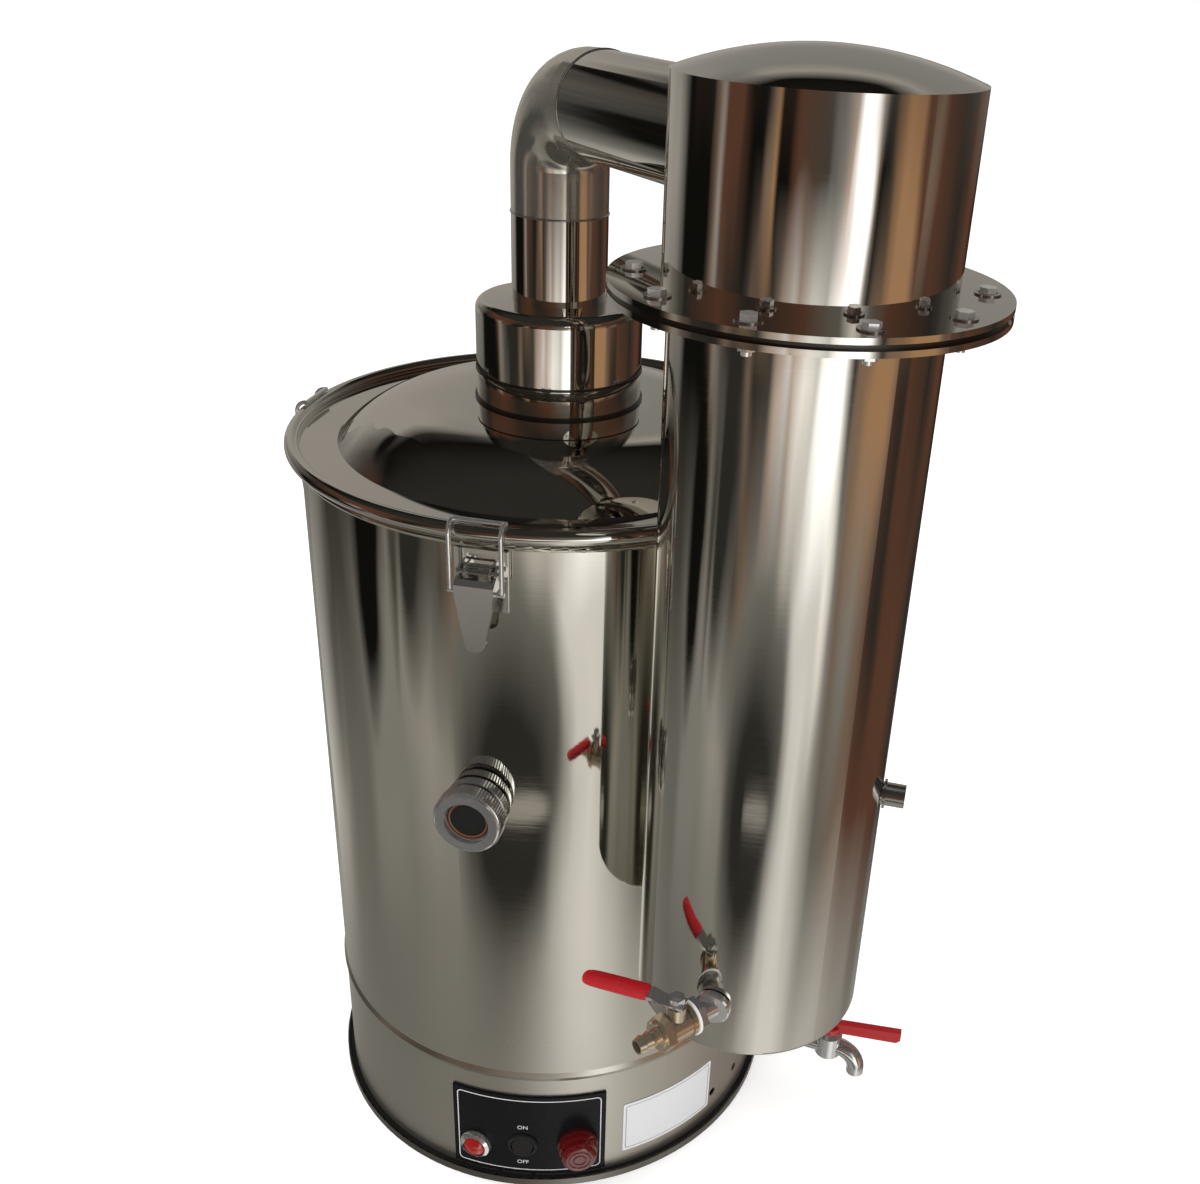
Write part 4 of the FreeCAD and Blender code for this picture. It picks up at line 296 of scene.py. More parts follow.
def room_tones(tree):
    where = tree.nodes.new("ShaderNodeTexCoord").outputs["Generated"]
    split = tree.nodes.new("ShaderNodeSeparateXYZ")
    tree.links.new(where, split.inputs[0])
    slope = split.outputs[2]
    slow = noise(tree, where, scale=3.2, detail=2.0)
    slower = noise(tree, where, scale=2.6, detail=1.0, stretch=(1, 1, 0.4))
    sway, lean = spread(tree, slow, -SWAY, SWAY), spread(tree, slower, -LEAN, LEAN)
    bearing = math_node(tree, "ARCTAN2", split.outputs[1], split.outputs[0])
    share = math_node(tree, "MULTIPLY_ADD", bearing, 1 / (2 * math.pi), 0.5)
    share = math_node(tree, "FRACT", math_node(tree, "ADD", share, sway))
    leaning = math_node(tree, "ADD", slope, lean)
    below, shown = None, None
    for ring_slope, stops in ROOM:
        ring = band_ramp(tree, sorted((bearing_share(b), tone) for b, tone in stops))
        tree.links.new(share, ring.inputs[0])
        if shown is None:
            shown = ring.outputs[0]
        else:
            lift = spread(tree, leaning, 0.0, 1.0, below, ring_slope)
            shown = mix_tones(tree, lift, shown, ring.outputs[0])
        below = ring_slope
    for middle, half, tone, soft in THINGS:
        shown = hang(tree, share, slope, shown, middle, half, tone, soft)
    return shown


def build_room():
    world = bpy.data.worlds.new("room")
    bpy.context.scene.world = world
    world.use_nodes = True
    tree = world.node_tree
    tree.nodes.clear()
    plain = tree.nodes.new("ShaderNodeBackground")
    plain.inputs["Color"].default_value = DAYLIGHT
    mirrored = tree.nodes.new("ShaderNodeBackground")
    tree.links.new(room_tones(tree), mirrored.inputs["Color"])
    path = tree.nodes.new("ShaderNodeLightPath")
    choose = tree.nodes.new("ShaderNodeMixShader")
    tree.links.new(path.outputs["Is Glossy Ray"], choose.inputs[0])
    tree.links.new(plain.outputs[0], choose.inputs[1])
    tree.links.new(mirrored.outputs[0], choose.inputs[2])
    out = tree.nodes.new("ShaderNodeOutputWorld")
    tree.links.new(choose.outputs[0], out.inputs[0])
    print(len(tree.nodes), "nodes in the room")


build_room()

# %% [markdown]
# The plain view transform keeps white paper white and lets the steel run from black to glare. The
# film transform, which is Blender's own choice, would turn both into greys.

# %% View transform
bpy.context.scene.view_settings.view_transform = "Standard"
print("view transform", bpy.context.scene.view_settings.view_transform)

# %% [markdown]
# ## Floor and lamps
# The floor is plain and pale. It is kept out of mirror rays, since a white floor would wash all
# contrast out of the polished sheet, and it still catches the soft shadow of the object. A little
# light of its own lets it meet the white of the background with no edge.

# %% Floor
FLOOR_WIDE = 60.0


def build_floor():
    bpy.ops.object.select_all(action="DESELECT")
    bpy.ops.mesh.primitive_plane_add(size=FLOOR_WIDE, location=(0, 0, 0))
    floor = bpy.context.object
    floor.name = "floor"
    paint = bpy.data.materials.new("pale_floor")
    paint.use_nodes = True
    shader = paint.node_tree.nodes["Principled BSDF"]
    shader.inputs["Base Color"].default_value = (0.93, 0.93, 0.93, 1.0)
    shader.inputs["Roughness"].default_value = 0.9
    shader.inputs["Emission Color"].default_value = (1.0, 1.0, 1.0, 1.0)
    shader.inputs["Emission Strength"].default_value = 0.25
    floor.data.materials.append(paint)
    floor.visible_glossy = False
    print("floor", [round(side) for side in floor.dimensions], "metres")


build_floor()

# %% [markdown]
# Three wide square lamps give a soft light: the key lamp on the camera's left, a weaker one further
# round on the same side, and one above. A small lamp would draw hard shadows. All three are kept
# out of mirror rays, because the room has its own window.

# %% Lamps
LAMP_TARGET = (0.1, 0, 0.4)
LAMPS = (
    # name, place, width of its square and power, in metres and watts
    ("key_lamp", (1.4, -2.2, 2.4), 1.6, 30),
    ("fill_lamp", (-1.8, -1.6, 1.6), 1.8, 14),
    ("top_lamp", (0.2, 0.4, 2.8), 2.2, 14),
)


def add_lamp(name, place, wide, power):
    light = bpy.data.lights.new(name, "AREA")
    light.shape = "RECTANGLE"
    light.size = light.size_y = wide
    light.energy = power
    lamp = bpy.data.objects.new(name, light)
    lamp.location = place
    lamp.rotation_euler = (Vector(LAMP_TARGET) - Vector(place)).to_track_quat("-Z", "Y").to_euler()
    lamp.visible_glossy = False
    bpy.context.scene.collection.objects.link(lamp)
    print(name, power, "watts")


for lamp_row in LAMPS:
    add_lamp(*lamp_row)

# %% [markdown]
# ## Finishes
# A finish is one small tree: a shader whose roughness and surface waver with the place on the
# piece. Rolled sheet has faint streaks along the sheet, and polish leaves tiny ripples. A picture
# of scratches would repeat itself and need a map on every piece. Noise on the object's own
# coordinates does neither, and it turns with the piece.

# %% An empty finish and its bumps
def new_finish(name):
    finish = bpy.data.materials.new(name)
    finish.use_nodes = True
    tree = finish.node_tree
    shader = tree.nodes["Principled BSDF"]
    coords = tree.nodes.new("ShaderNodeTexCoord").outputs["Object"]
    return finish, tree, shader, coords


def bump(tree, height, strength, distance):
    node = tree.nodes.new("ShaderNodeBump")
    node.inputs["Strength"].default_value = strength
    node.inputs["Distance"].default_value = distance
    tree.links.new(height, node.inputs["Height"])
    return node.outputs[0]


# %% [markdown]
# One function makes every steel, so that all of them share their streaks. The lower part of the
# drum is satin rather than bright, so its roughness grows towards the floor.

# %% Steel
STREAKS_LIE_FLAT = (4, 4, 90)
STREAK_DEPTH, DENT_DEPTH = 0.0002, 0.004
SATIN_FROM, SATIN_FULL = 0.30, 0.05


def steel(name, light, dark, rough, grain=0.02, wave=0.0, metal=1.0, foot=0.0):
    """Steel sheet. rough is (least, most), grain the depth of its streaks, wave that of its dents.
    foot is how much rougher the sheet gets towards the floor."""
    finish, tree, shader, coords = new_finish(name)
    shader.inputs["Metallic"].default_value = metal
    streaks = noise(tree, coords, scale=6.0, detail=5.0, stretch=STREAKS_LIE_FLAT, roughness=0.6)
    clouds = spread(tree, noise(tree, coords, scale=9.0, detail=4.0), 0.0, 1.0)
    tree.links.new(mix_tones(tree, clouds, light, dark), shader.inputs["Base Color"])
    roughness = spread(tree, streaks, rough[0], rough[1])
    if foot:
        split = tree.nodes.new("ShaderNodeSeparateXYZ")
        tree.links.new(coords, split.inputs[0])
        satin = spread(tree, split.outputs[2], foot, 0.0, SATIN_FULL, SATIN_FROM)
        roughness = math_node(tree, "ADD", roughness, satin)
    tree.links.new(roughness, shader.inputs["Roughness"])
    normal = bump(tree, streaks, grain, STREAK_DEPTH)
    if wave:
        dents = noise(tree, coords, scale=7.0, detail=1.0, stretch=(1, 1, 0.5))
        tree.links.new(bump(tree, dents, wave, DENT_DEPTH), normal.node.inputs["Normal"])
    tree.links.new(normal, shader.inputs["Normal"])
    return finish


# %% [markdown]
# Drum and tower are thin sheet, polished but a little dented. The lid and the pipes are brighter
# and stiffer. The fittings are chromed, the valve body is nickel on brass and stays warm, and the
# heater sheaths inside are dull from heat. Each is a row of numbers for the same function: two
# close tones, the least and most roughness, and what departs from plain sheet.

# %% Steel finishes of the record's slots
FINISHES = {
    "boiler_steel": steel("boiler_sheet", (0.73, 0.71, 0.64), (0.69, 0.67, 0.60), (0.03, 0.06),
                          wave=0.045, foot=0.36),
    "mirror_steel": steel("mirror_polish", (0.73, 0.71, 0.66), (0.68, 0.66, 0.61), (0.02, 0.05),
                          grain=0.005, wave=0.02),
    "tower_steel": steel("tower_sheet", (0.73, 0.71, 0.65), (0.69, 0.67, 0.61), (0.045, 0.085),
                         wave=0.03),
    "plain_steel": steel("plain_steel", (0.62, 0.61, 0.59), (0.50, 0.49, 0.48), (0.18, 0.30),
                         grain=0.10),
    "heater_steel": steel("heater_sheath", (0.22, 0.21, 0.20), (0.14, 0.13, 0.12), (0.4, 0.6),
                          grain=0.2),
    "chrome_trim": steel("chrome_plate", (0.88, 0.88, 0.87), (0.80, 0.80, 0.79), (0.04, 0.09),
                         grain=0.01, metal=0.92),
    "nickel_brass": steel("nickel_on_brass", (0.78, 0.66, 0.49), (0.66, 0.55, 0.40), (0.12, 0.22),
                          grain=0.04, metal=0.92),
}
print(len(FINISHES), "steel finishes")

# %% [markdown]
# Plastic, rubber and paint take the light more softly. A plain colour would do from afar, but close
# up it looks like nothing at all, so their skin is a very fine noise. A coat makes the red pieces
# shine, and the lenses let some light through.

# %% Moulded plastic, rubber and paint
SKIN_DEPTH, COAT_ROUGHNESS = 0.0004, 0.08


def moulded(name, colour, second, rough, depth=0.06, clear=0.0, through=0.0, gloss=0.5):
    """Plastic, rubber or paint. depth is that of its skin, clear the coat over it, through the
    light it lets pass."""
    finish, tree, shader, coords = new_finish(name)
    patches = noise(tree, coords, scale=40.0)
    tree.links.new(mix_tones(tree, patches, colour, second), shader.inputs["Base Color"])
    tree.links.new(spread(tree, patches, rough[0], rough[1]), shader.inputs["Roughness"])
    if depth:
        skin = noise(tree, coords, scale=900.0, detail=2.0)
        tree.links.new(bump(tree, skin, depth, SKIN_DEPTH), shader.inputs["Normal"])
    shader.inputs["Coat Weight"].default_value = clear
    shader.inputs["Coat Roughness"].default_value = COAT_ROUGHNESS
    shader.inputs["Transmission Weight"].default_value = through
    shader.inputs["Specular IOR Level"].default_value = gloss
    return finish


# %% [markdown]
# The panel is enamelled and nearly black, so it hardly mirrors the room. The sleeves are soft red
# plastic, and the seals are silicone and rubber. The pane's colour is painted nearly black, as
# painted shade for the unlit inside of the drum behind it.

# %% Moulded finishes of the record's slots
FINISHES.update({
    "black_panel": moulded("panel_enamel", (0.004, 0.004, 0.005), (0.007, 0.007, 0.008),
                           (0.22, 0.32), depth=0.02, gloss=0.12),
    "black_plastic": moulded("black_plastic", (0.008, 0.008, 0.008), (0.014, 0.014, 0.014),
                             (0.3, 0.42), gloss=0.35),
    "rocker_black": moulded("rocker_plastic", (0.006, 0.006, 0.006), (0.009, 0.009, 0.009),
                            (0.18, 0.28), gloss=0.3),
    "red_lens": moulded("red_lens", (0.42, 0.012, 0.010), (0.34, 0.010, 0.008), (0.05, 0.10),
                        depth=0.0, clear=1.0, through=0.35),
    "red_sleeve": moulded("red_sleeve", (0.40, 0.010, 0.014), (0.31, 0.008, 0.011), (0.20, 0.30),
                          depth=0.03, clear=0.4),
    "white_seal": moulded("white_seal", (0.74, 0.74, 0.72), (0.66, 0.65, 0.62), (0.35, 0.5)),
    "silicone": moulded("silicone", (0.36, 0.35, 0.33), (0.28, 0.27, 0.26), (0.45, 0.6)),
    "orange_seal": moulded("orange_seal", (0.20, 0.07, 0.025), (0.13, 0.045, 0.015), (0.3, 0.45)),
    "black_rubber": moulded("black_rubber", (0.008, 0.008, 0.008), (0.013, 0.013, 0.013),
                            (0.4, 0.55), gloss=0.3),
    # painted shade: the pane is coloured nearly black for the unlit inside of the drum
    "clear_glass": moulded("clear_glass", (0.020, 0.021, 0.020), (0.016, 0.017, 0.016),
                           (0.02, 0.05), depth=0.0, through=0.35),
})
print(len(FINISHES), "finishes for the record's slots")

# %% [markdown]
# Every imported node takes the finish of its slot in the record. A few get one of their own: the
# alarm is dark red down to its base, joints and gasket are dark lines, bolts and latches are paler
# and softer than the sheet, the welded elbow is duller than its pipes, the pan is darker than the
# drum, and the union and lever of the inlet valve are chromed. The last three finishes here are for
# the label and the printed lines.

# %% Finishes of their own
ALARM_RED = moulded("alarm_red", (0.16, 0.006, 0.008), (0.11, 0.005, 0.006), (0.06, 0.12),
                    depth=0.0, clear=1.0, through=0.45)
ALARM_BASE = moulded("alarm_base_red", (0.05, 0.004, 0.005), (0.035, 0.003, 0.004), (0.12, 0.2),
                     depth=0.01, clear=0.8)
JOINT_DARK = steel("joint_dark", (0.10, 0.095, 0.085), (0.07, 0.065, 0.06), (0.25, 0.4),
                   grain=0.05)
BOLT_STEEL = steel("bolt_steel", (0.84, 0.83, 0.80), (0.70, 0.69, 0.66), (0.16, 0.26),
                   grain=0.01, metal=0.8)
LATCH_STEEL = steel("latch_steel", (0.82, 0.80, 0.76), (0.72, 0.70, 0.66), (0.09, 0.11),
                    grain=0.0, metal=0.96)
ELBOW_STEEL = steel("elbow_steel", (0.60, 0.57, 0.50), (0.50, 0.47, 0.41), (0.10, 0.16),
                    wave=0.04, metal=0.93)
PAN_STEEL = steel("pan_sheet", (0.30, 0.29, 0.26), (0.20, 0.19, 0.17), (0.14, 0.24), grain=0.03)
PLATE_WHITE = moulded("plate_white", (0.66, 0.66, 0.67), (0.64, 0.64, 0.65), (0.30, 0.36),
                      depth=0.01)
LINE_GREY = moulded("line_grey", (0.30, 0.30, 0.31), (0.26, 0.26, 0.27), (0.35, 0.45), depth=0.0)
MARK_WHITE = moulded("mark_white", (0.60, 0.60, 0.60), (0.52, 0.52, 0.52), (0.35, 0.45),
                     depth=0.0)

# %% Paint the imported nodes
SPECIAL = {
    "alarm_body": ALARM_BASE,
    "alarm_lens": ALARM_RED,
    "neck_ring": JOINT_DARK,
    "flange_gasket": JOINT_DARK,
    "flange_bolts": BOLT_STEEL,
    "flange_nuts": BOLT_STEEL,
    "steam_elbow": ELBOW_STEEL,
    "inlet_union": FINISHES["chrome_trim"],
    "inlet_lever": FINISHES["chrome_trim"],
    "latch_plates": LATCH_STEEL,
    "base_pan": PAN_STEEL,
}
LATCHES = 4
for number in range(LATCHES):
    SPECIAL[f"latch_lever_{number}"] = LATCH_STEEL
slot_of = {entry["node"]: entry["material_slot"] for entry in frame["record"]["subparts"]}
for name, node in nodes.items():
    node.data.materials.clear()
    node.data.materials.append(SPECIAL.get(name, FINISHES[slot_of[name]]))
print(len(nodes), "nodes painted,", len(SPECIAL), "of them with a finish of their own")

# %% [markdown]
# ## Tools for new pieces
# Most small pieces here are rings, bent plates or round bars. Each is made upright at the centre of
# the frame, where faces are easy to pick by their direction, and set in place last. Picking by hand
# would be lost on the next run, so a rule picks instead.

# %% Naming and picking
def named(name):
    piece = bpy.context.object
    piece.name = name
    piece.data.name = name
    return piece


def pick_faces(piece, test):
    bpy.ops.mesh.select_mode(type="FACE")
    bpy.ops.mesh.select_all(action="DESELECT")
    mesh = bmesh.from_edit_mesh(piece.data)
    for face in mesh.faces:
        face.select_set(bool(test(face.calc_center_median(), face.normal)))
    bmesh.update_edit_mesh(piece.data)


def pick_points(piece, test):
    bpy.ops.mesh.select_mode(type="VERT")
    bpy.ops.mesh.select_all(action="DESELECT")
    mesh = bmesh.from_edit_mesh(piece.data)
    for point in mesh.verts:
        point.select_set(bool(test(point.co)))
    mesh.select_flush_mode()
    bmesh.update_edit_mesh(piece.data)


# %% [markdown]
# A finished piece keeps its object at the origin and its place in its mesh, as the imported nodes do.
# A piece on a wall is laid on its side first and then turned to its bearing.

# %% Setting in place
def only(piece):
    bpy.ops.object.select_all(action="DESELECT")
    piece.select_set(True)
    bpy.context.view_layer.objects.active = piece


def settle(piece, place=(0, 0, 0), turn=(0, 0, 0)):
    """Turns and moves a piece, in degrees and millimetres, and writes that into its mesh."""
    only(piece)
    piece.rotation_euler = tuple(math.radians(angle) for angle in turn)
    piece.location = metres(*place)
    bpy.ops.object.transform_apply(location=True, rotation=True, scale=True)


def stand_out(piece, reach, height, bearing):
    """Lays an upright piece on its side, so that its top faces out from the drum at a bearing."""
    angle = math.radians(bearing)
    settle(piece, (reach * math.cos(angle), reach * math.sin(angle), height), (0, 90, bearing))


# %% Modifiers, finish and body
SMOOTH_ANGLE = math.radians(35)


def apply_all(piece):
    only(piece)
    for modifier in list(piece.modifiers):
        bpy.ops.object.modifier_apply(modifier=modifier.name)


def dress(piece, finish, body, smooth=True):
    """Gives a finished piece its material and its body."""
    only(piece)
    piece.data.materials.clear()
    piece.data.materials.append(finish)
    if smooth:
        bpy.ops.object.shade_smooth_by_angle(angle=SMOOTH_ANGLE)
    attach(piece, body)
    print(piece.name, len(piece.data.polygons), "faces")


# %% [markdown]
# A flat ring is a cylinder with both ends inset and the two inner faces bridged, which opens it
# right through. Cutting a hole with a second cylinder would do too, but a bridge keeps the walls as
# clean strips of faces.

# %% A flat ring
UPRIGHT = 0.9


def make_ring(name, outer, inner, low, high, sides=128):
    bpy.ops.object.select_all(action="DESELECT")
    bpy.ops.mesh.primitive_cylinder_add(vertices=sides, radius=outer * MM,
                                        depth=(high - low) * MM,
                                        location=(0, 0, (low + high) / 2 * MM))
    piece = named(name)
    bpy.ops.object.mode_set(mode="EDIT")
    pick_faces(piece, lambda middle, normal: abs(normal.z) > UPRIGHT)
    bpy.ops.mesh.inset(thickness=(outer - inner) * MM, depth=0)
    bpy.ops.mesh.bridge_edge_loops()
    bpy.ops.object.mode_set(mode="OBJECT")
    settle(piece, (0, 0, (low + high) / 2))
    return piece


# %% [markdown]
# A bar bent to a hoop serves as bead, weld, ridge and lip. A torus primitive would give it at once,
# but spinning shows how any section is led round an axis. A small circle stands upright at the
# hoop's reach and is spun once round the centre. A spin of a whole turn closes itself, but it can
# leave the faces pointing inwards, so they are turned outwards last.

# %% A round hoop
def make_hoop(name, reach, bar, around=96, section=12):
    bpy.ops.object.select_all(action="DESELECT")
    bpy.ops.mesh.primitive_circle_add(vertices=section, radius=bar * MM)
    hoop = named(name)
    settle(hoop, (reach, 0, 0), (90, 0, 0))
    bpy.ops.object.mode_set(mode="EDIT")
    bpy.ops.mesh.select_all(action="SELECT")
    bpy.ops.mesh.spin(steps=around, angle=2 * math.pi, center=(0, 0, 0), axis=(0, 0, 1))
    bpy.ops.mesh.select_all(action="SELECT")
    bpy.ops.mesh.normals_make_consistent(inside=False)
    bpy.ops.object.mode_set(mode="OBJECT")
    return hoop


# %% [markdown]
# Turned sheet is grown from a circle: the edge is extruded and scaled ring by ring along an
# outline, as a spinner's roller walks over the sheet, and a Solidify modifier gives it its
# thickness. The outline could be spun like the hoop, but it would have to be drawn first, point by
# point, and a circle is there at once.

# %% Turned sheet
def make_turned(name, outline, thickness, sides=192):
    """outline is (reach, height) pairs from the inside out."""
    bpy.ops.object.select_all(action="DESELECT")
    bpy.ops.mesh.primitive_circle_add(vertices=sides, radius=outline[0][0] * MM,
                                      location=(0, 0, outline[0][1] * MM))
    piece = named(name)
    bpy.ops.object.mode_set(mode="EDIT")
    bpy.ops.mesh.select_all(action="SELECT")
    for (reach, height), (new_reach, new_height) in zip(outline, outline[1:]):
        bpy.ops.mesh.extrude_region_move(
            TRANSFORM_OT_translate={"value": (0, 0, (new_height - height) * MM)})
        scale = new_reach / reach
        bpy.ops.transform.resize(value=(scale, scale, 1),
                                 center_override=(0, 0, new_height * MM))
    bpy.ops.mesh.select_all(action="SELECT")
    bpy.ops.mesh.normals_make_consistent(inside=False)
    bpy.ops.object.mode_set(mode="OBJECT")
    settle(piece, (0, 0, outline[0][1]))
    wall = piece.modifiers.new("sheet", "SOLIDIFY")
    wall.thickness = thickness * MM
    wall.offset = -1.0
    apply_all(piece)
    return piece


# %% [markdown]
# ## Lid
# The lid is one pressed sheet: a rolled bead, a flat shelf, and a dome that leaves the shelf
# steeply and runs nearly flat up to the neck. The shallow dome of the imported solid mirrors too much
# of the neck, so a fuller sheet stands for it. The dome could be pulled up by eye, point by point.
# A cube of the distance from the neck gives that form with one formula, and no ripple.

# %% Lid sheet and bead
SHELF, DOME_EDGE, DOME_TOP, NECK = 547.0, 150.0, 575.6, 56.0
DOME_STEPS, LID_SHEET = 20, 1.2
BEAD_REACH, BEAD_HEIGHT, BEAD = 180.0, 549.5, 5.0


def dome_height(reach):
    share = (reach - NECK) / (DOME_EDGE - NECK)
    return SHELF + (DOME_TOP - SHELF) * (1 - share ** 3)


def make_lid():
    dome = [NECK + (DOME_EDGE - NECK) * step / DOME_STEPS for step in range(DOME_STEPS + 1)]
    outline = [(reach, dome_height(reach)) for reach in dome] + [(BEAD_REACH, SHELF)]
    sheet = make_turned("lid_sheet", outline, LID_SHEET)
    dress(sheet, FINISHES["mirror_steel"], "head")
    bead = make_hoop("lid_bead", BEAD_REACH, BEAD, around=192, section=24)
    settle(bead, (0, 0, BEAD_HEIGHT))
    dress(bead, FINISHES["mirror_steel"], "head")
    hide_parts("lid")
    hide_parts("lid")


make_lid()

# %% [markdown]
# ## Joints of the steam way
# The neck is closed by two dark joint lines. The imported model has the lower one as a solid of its
# own, and the upper one is a flat ring that stands out by little more than half a millimetre. The
# elbow carries a thin weld at each end: a slim hoop sunk half into the pipe, which is all that is
# left of a weld once it has been ground and polished.

# %% Neck groove and elbow welds
GROOVE_LOW, GROOVE_HIGH, GROOVE_OUT, GROOVE_IN = 596.2, 597.8, 0.6, 0.2
PIPE, RISER_TOP, ELBOW_END, PIPE_HEIGHT = 31.75, 700.1, 54.0, 770.5
WELD = 0.7

groove = make_ring("neck_groove", NECK + GROOVE_OUT, NECK - GROOVE_IN, GROOVE_LOW, GROOVE_HIGH)
dress(groove, JOINT_DARK, "head")
low_weld = make_hoop("elbow_weld_low", PIPE, WELD)
settle(low_weld, (0, 0, RISER_TOP))
dress(low_weld, FINISHES["plain_steel"], "head")
end_weld = make_hoop("elbow_weld_end", PIPE, WELD)
stand_out(end_weld, ELBOW_END, PIPE_HEIGHT, 0)
dress(end_weld, FINISHES["plain_steel"], "head")

# %% [markdown]
# ## Washers on the flange
# Each of the ten bolts presses on a plain washer. An array modifier could set them round the
# flange, but then all ten would share one mesh. One is made at the centre, and each copy has its
# own mesh, so that every washer is a piece by itself.

# %% Flange washers
TOWER_X = (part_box("condenser_tubes")[0].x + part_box("condenser_tubes")[1].x) / 2 / MM
FLANGE_THICK = 3.1
FLANGE_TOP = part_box("condenser_cap")[0].z / MM + FLANGE_THICK
BOLTS, FIRST_BOLT, BOLT_REACH = 10, -20.0, 88.0
WASHER_OUTER, WASHER_INNER, WASHER_THICK = 6.9, 4.75, 0.8

master = make_ring("flange_washer", WASHER_OUTER, WASHER_INNER, 0, WASHER_THICK, sides=36)
for number in range(BOLTS):
    only(master)
    bpy.ops.object.duplicate()
    washer = named(f"flange_washer_{number}")
    angle = math.radians(FIRST_BOLT + 360.0 * number / BOLTS)
    settle(washer, (TOWER_X + BOLT_REACH * math.cos(angle), BOLT_REACH * math.sin(angle),
                    FLANGE_TOP))
    dress(washer, FINISHES["plain_steel"], "head")
bpy.data.objects.remove(master)

# %% [markdown]
# ## Painted shade under the drum
# The drum stands in a groove of its pan, and a black ring in the rubber finish fills that groove as
# painted shade: it draws the dark line of the shaded gap round the foot of the machine. A flat ring
# is enough, since only its upper edge shows.

# %% Painted shade in the base groove
DRUM = 175.0
SHADE_RING_OUTER, SHADE_RING_GAP, SHADE_RING_LOW, SHADE_RING_HIGH = 179.05, 0.25, 2.2, 5.4

# painted shade: a black ring fills the shaded gap between drum and pan
shade_ring = make_ring("base_gap_shade", SHADE_RING_OUTER, DRUM + SHADE_RING_GAP, SHADE_RING_LOW, SHADE_RING_HIGH, sides=192)
dress(shade_ring, FINISHES["black_rubber"], "boiler")

# %% [markdown]
# ## Knurled rings of the sight glass
# Fingers turn the two rings of the sight glass, so their rims are knurled. A ring with many sides
# gets every second upright edge pushed in, which leaves a row of straight ridges. A bump in the
# material would look the same from afar, but its outline would stay smooth.

# %% Knurled rings
SIGHT_BEARING, SIGHT_HEIGHT = -45.3, 352.7
RIDGE_DEPTH = 0.45


def make_knurl(name, outer, inner, length, ridges, reach):
    ring = make_ring(name, outer, inner, 0, length, sides=2 * ridges)
    only(ring)
    bpy.ops.object.mode_set(mode="EDIT")

    def in_a_valley(point):
        place = round(math.atan2(point.y, point.x) / math.pi * ridges)
        return place % 2 == 1 and math.hypot(point.x, point.y) > (outer + inner) / 2 * MM

    pick_points(ring, in_a_valley)
    valley = (outer - RIDGE_DEPTH) / outer
    bpy.ops.transform.resize(value=(valley, valley, 1), center_override=(0, 0, 0))
    bpy.ops.object.mode_set(mode="OBJECT")
    stand_out(ring, reach, SIGHT_HEIGHT, SIGHT_BEARING)
    dress(ring, FINISHES["chrome_trim"], "boiler", smooth=False)


make_knurl("sight_knurl_wall", outer=21.4, inner=20.6, length=6.6, ridges=64, reach=176.2)
make_knurl("sight_knurl_front", outer=23.0, inner=22.1, length=9.6, ridges=68, reach=187.4)

# %% [markdown]
# The seal of the pane swells a little past the lip of the ring, and shows as a thin brown line in
# front of the dark glass. It is a slim hoop that rests on the pane.

# %% Lip of the pane's seal
PANE_EDGE, PANE_FRONT, LIP = 12.7, 193.7, 0.6

lip = make_hoop("sight_seal_lip", PANE_EDGE, LIP)
stand_out(lip, PANE_FRONT + LIP, SIGHT_HEIGHT, SIGHT_BEARING)
dress(lip, FINISHES["orange_seal"], "boiler")

# %% [markdown]
# ## Panel, label and words
# The panel has a thin printed frame, the switch has plain words for its two ends, and a bare pale
# plate sits beside the panel. All of them follow the curve of the drum. A Shrinkwrap modifier could
# press them on, but it squeezes flat shapes. Here each flat sheet is sliced into narrow strips and
# bent by a Simple Deform modifier, so that it keeps its size and lies on the wall everywhere.

# %% A sheet bent round the drum
def bend_round(piece, reach, thickness, middle, height, strips=24):
    only(piece)
    width = piece.dimensions.x
    bpy.ops.object.mode_set(mode="EDIT")
    for step in range(1, strips):
        bpy.ops.mesh.select_all(action="SELECT")
        bpy.ops.mesh.bisect(plane_co=(width * (step / strips - 0.5), 0, 0), plane_no=(1, 0, 0))
    bpy.ops.object.mode_set(mode="OBJECT")
    bend = piece.modifiers.new("bend", "SIMPLE_DEFORM")
    bend.deform_method = "BEND"
    bend.deform_axis = "Z"
    bend.angle = width / (reach * MM)
    wall = piece.modifiers.new("sheet", "SOLIDIFY")
    wall.thickness = thickness * MM
    wall.offset = 1.0
    apply_all(piece)
    angle = math.radians(middle)
    settle(piece, (reach * math.cos(angle), reach * math.sin(angle), height), (0, 0, middle + 90))


# %% A rounded plate, or only its frame
CORNER_STEPS = 6


def make_plate(name, reach, thickness, middle, span, low, high, corner, line=None):
    """middle and span are in degrees. With line, only a frame of that width is left."""
    bpy.ops.object.select_all(action="DESELECT")
    bpy.ops.mesh.primitive_plane_add(size=1.0)
    piece = named(name)
    piece.scale = (math.radians(span) * reach * MM, (high - low) * MM, 1)
    settle(piece, turn=(90, 0, 0))
    bpy.ops.object.mode_set(mode="EDIT")
    bpy.ops.mesh.select_all(action="SELECT")
    bpy.ops.mesh.bevel(offset=corner * MM, segments=CORNER_STEPS, affect="VERTICES")
    if line:
        bpy.ops.mesh.select_all(action="SELECT")
        bpy.ops.mesh.inset(thickness=line * MM, depth=0)
        bpy.ops.mesh.delete(type="FACE")
    bpy.ops.object.mode_set(mode="OBJECT")
    bend_round(piece, reach, thickness, middle, (low + high) / 2)
    return piece


# %% A printed word
PRINT, WORD_STRIPS = 0.06, 8


def make_word(name, word, tall, reach, middle, height):
    bpy.ops.object.select_all(action="DESELECT")
    bpy.ops.object.text_add()
    text = bpy.context.object
    text.data.body = word
    text.data.size = tall * MM
    text.data.align_x = "CENTER"
    text.data.align_y = "CENTER"
    bpy.ops.object.convert(target="MESH")
    piece = named(name)
    settle(piece, turn=(90, 0, 0))
    bend_round(piece, reach, PRINT, middle, height, strips=WORD_STRIPS)
    return piece


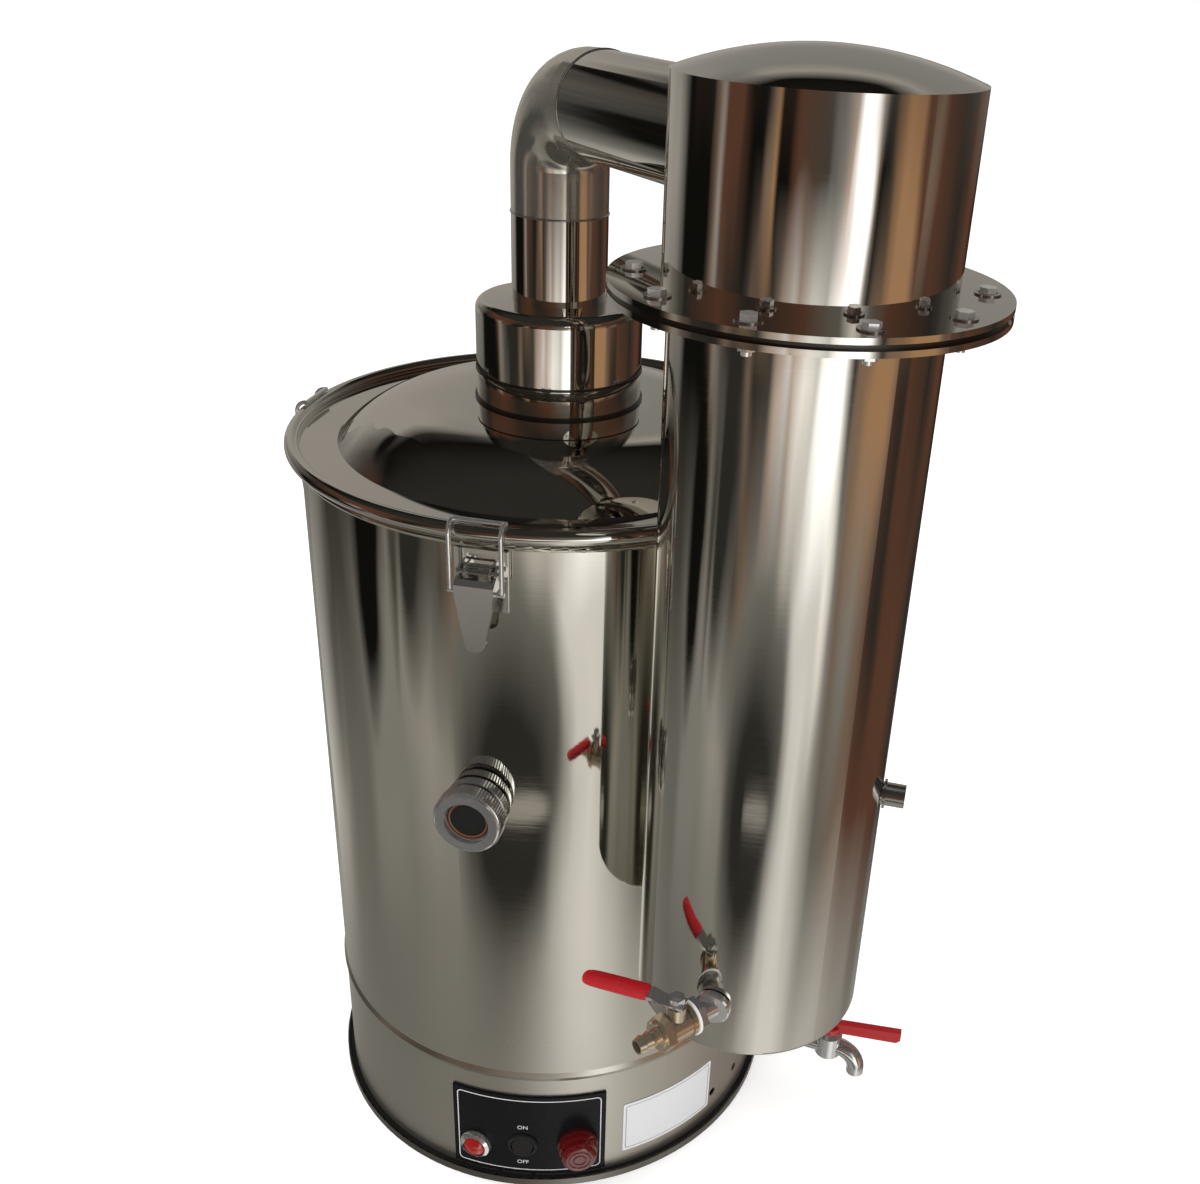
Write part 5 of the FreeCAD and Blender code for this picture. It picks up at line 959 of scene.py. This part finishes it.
# %% Panel frame and words
PANEL_FACE, PANEL_BEARING, SWITCH_BEARING = 176.6, -35.15, -36.5
LETTERS_TALL = 5.2

panel_line = make_plate("panel_frame", PANEL_FACE, PRINT, PANEL_BEARING, span=36.0, low=12.4,
                        high=86.4, corner=4.0, line=0.8)
dress(panel_line, MARK_WHITE, "boiler", smooth=False)
for name, word, height in (("word_on", "ON", 58.0), ("word_off", "OFF", 21.0)):
    text = make_word(name, word, LETTERS_TALL, PANEL_FACE, SWITCH_BEARING, height)
    dress(text, MARK_WHITE, "boiler", smooth=False)

# %% Bare label and its frame
LABEL_BEARING = 2.3

plate = make_plate("label_plate", reach=DRUM + 0.1, thickness=0.35, middle=LABEL_BEARING,
                   span=27.2, low=20.0, high=70.0, corner=2.0)
dress(plate, PLATE_WHITE, "boiler")
plate_line = make_plate("label_frame", reach=DRUM + 0.48, thickness=0.05, middle=LABEL_BEARING,
                        span=25.8, low=22.4, high=67.6, corner=1.6, line=0.6)
dress(plate_line, LINE_GREY, "boiler", smooth=False)

# %% [markdown]
# ## Alarm ridges
# The clear red cap of the alarm is moulded with rings that break up its light. They could be cut
# into the cap, but that node is right as it is, so two hoops lie half sunk in its face.

# %% Alarm ridges
ALARM_BEARING, ALARM_HEIGHT, ALARM_FACE = -23.0, 41.3, 193.7
RIDGE = 0.6

for name, reach in (("alarm_ridge_outer", 8.2), ("alarm_ridge_inner", 4.6)):
    ridge = make_hoop(name, reach, RIDGE)
    stand_out(ridge, ALARM_FACE, ALARM_HEIGHT, ALARM_BEARING)
    dress(ridge, ALARM_RED, "boiler")

# %% [markdown]
# ## Sleeve of the inlet lever
# A soft red sleeve is dipped over the steel lever, so it has no sharp edge. A bevel would leave its
# sides flat. A long box with two extra slices, subdivided, keeps its length and rounds everything
# else, and its far end is drawn in a little, as on a dipped handle.

# %% Inlet sleeve
STEM = (306.9, -86.1)
HANDLE_BEARING, SLEEVE_HEIGHT, SLEEVE_MIDDLE = -140.6, 315.9, 37.9
SLEEVE_LONG, SLEEVE_WIDE, SLEEVE_THICK = 42.5, 13.6, 7.4
SLICES, TIP_FROM, TIP_SHRINK = (-0.44, 0.30), 0.4, (1, 0.86, 0.9)


def make_sleeve():
    bpy.ops.object.select_all(action="DESELECT")
    bpy.ops.mesh.primitive_cube_add(size=1.0)
    sleeve = named("inlet_sleeve")
    sleeve.scale = (SLEEVE_LONG * MM, SLEEVE_WIDE * MM, SLEEVE_THICK * MM)
    settle(sleeve)
    bpy.ops.object.mode_set(mode="EDIT")
    for share in SLICES:
        bpy.ops.mesh.select_all(action="SELECT")
        bpy.ops.mesh.bisect(plane_co=(share * SLEEVE_LONG * MM, 0, 0), plane_no=(1, 0, 0))
    pick_points(sleeve, lambda point: point.x > TIP_FROM * SLEEVE_LONG * MM)
    bpy.ops.transform.resize(value=TIP_SHRINK, center_override=(0, 0, 0))
    bpy.ops.object.mode_set(mode="OBJECT")
    round_off = sleeve.modifiers.new("round", "SUBSURF")
    round_off.levels = round_off.render_levels = 3
    apply_all(sleeve)
    angle = math.radians(HANDLE_BEARING)
    settle(sleeve, (STEM[0] + SLEEVE_MIDDLE * math.cos(angle),
                    STEM[1] + SLEEVE_MIDDLE * math.sin(angle), SLEEVE_HEIGHT),
           (0, 0, HANDLE_BEARING))
    dress(sleeve, FINISHES["red_sleeve"], "inlet_handle")
    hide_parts("inlet_grip")


make_sleeve()
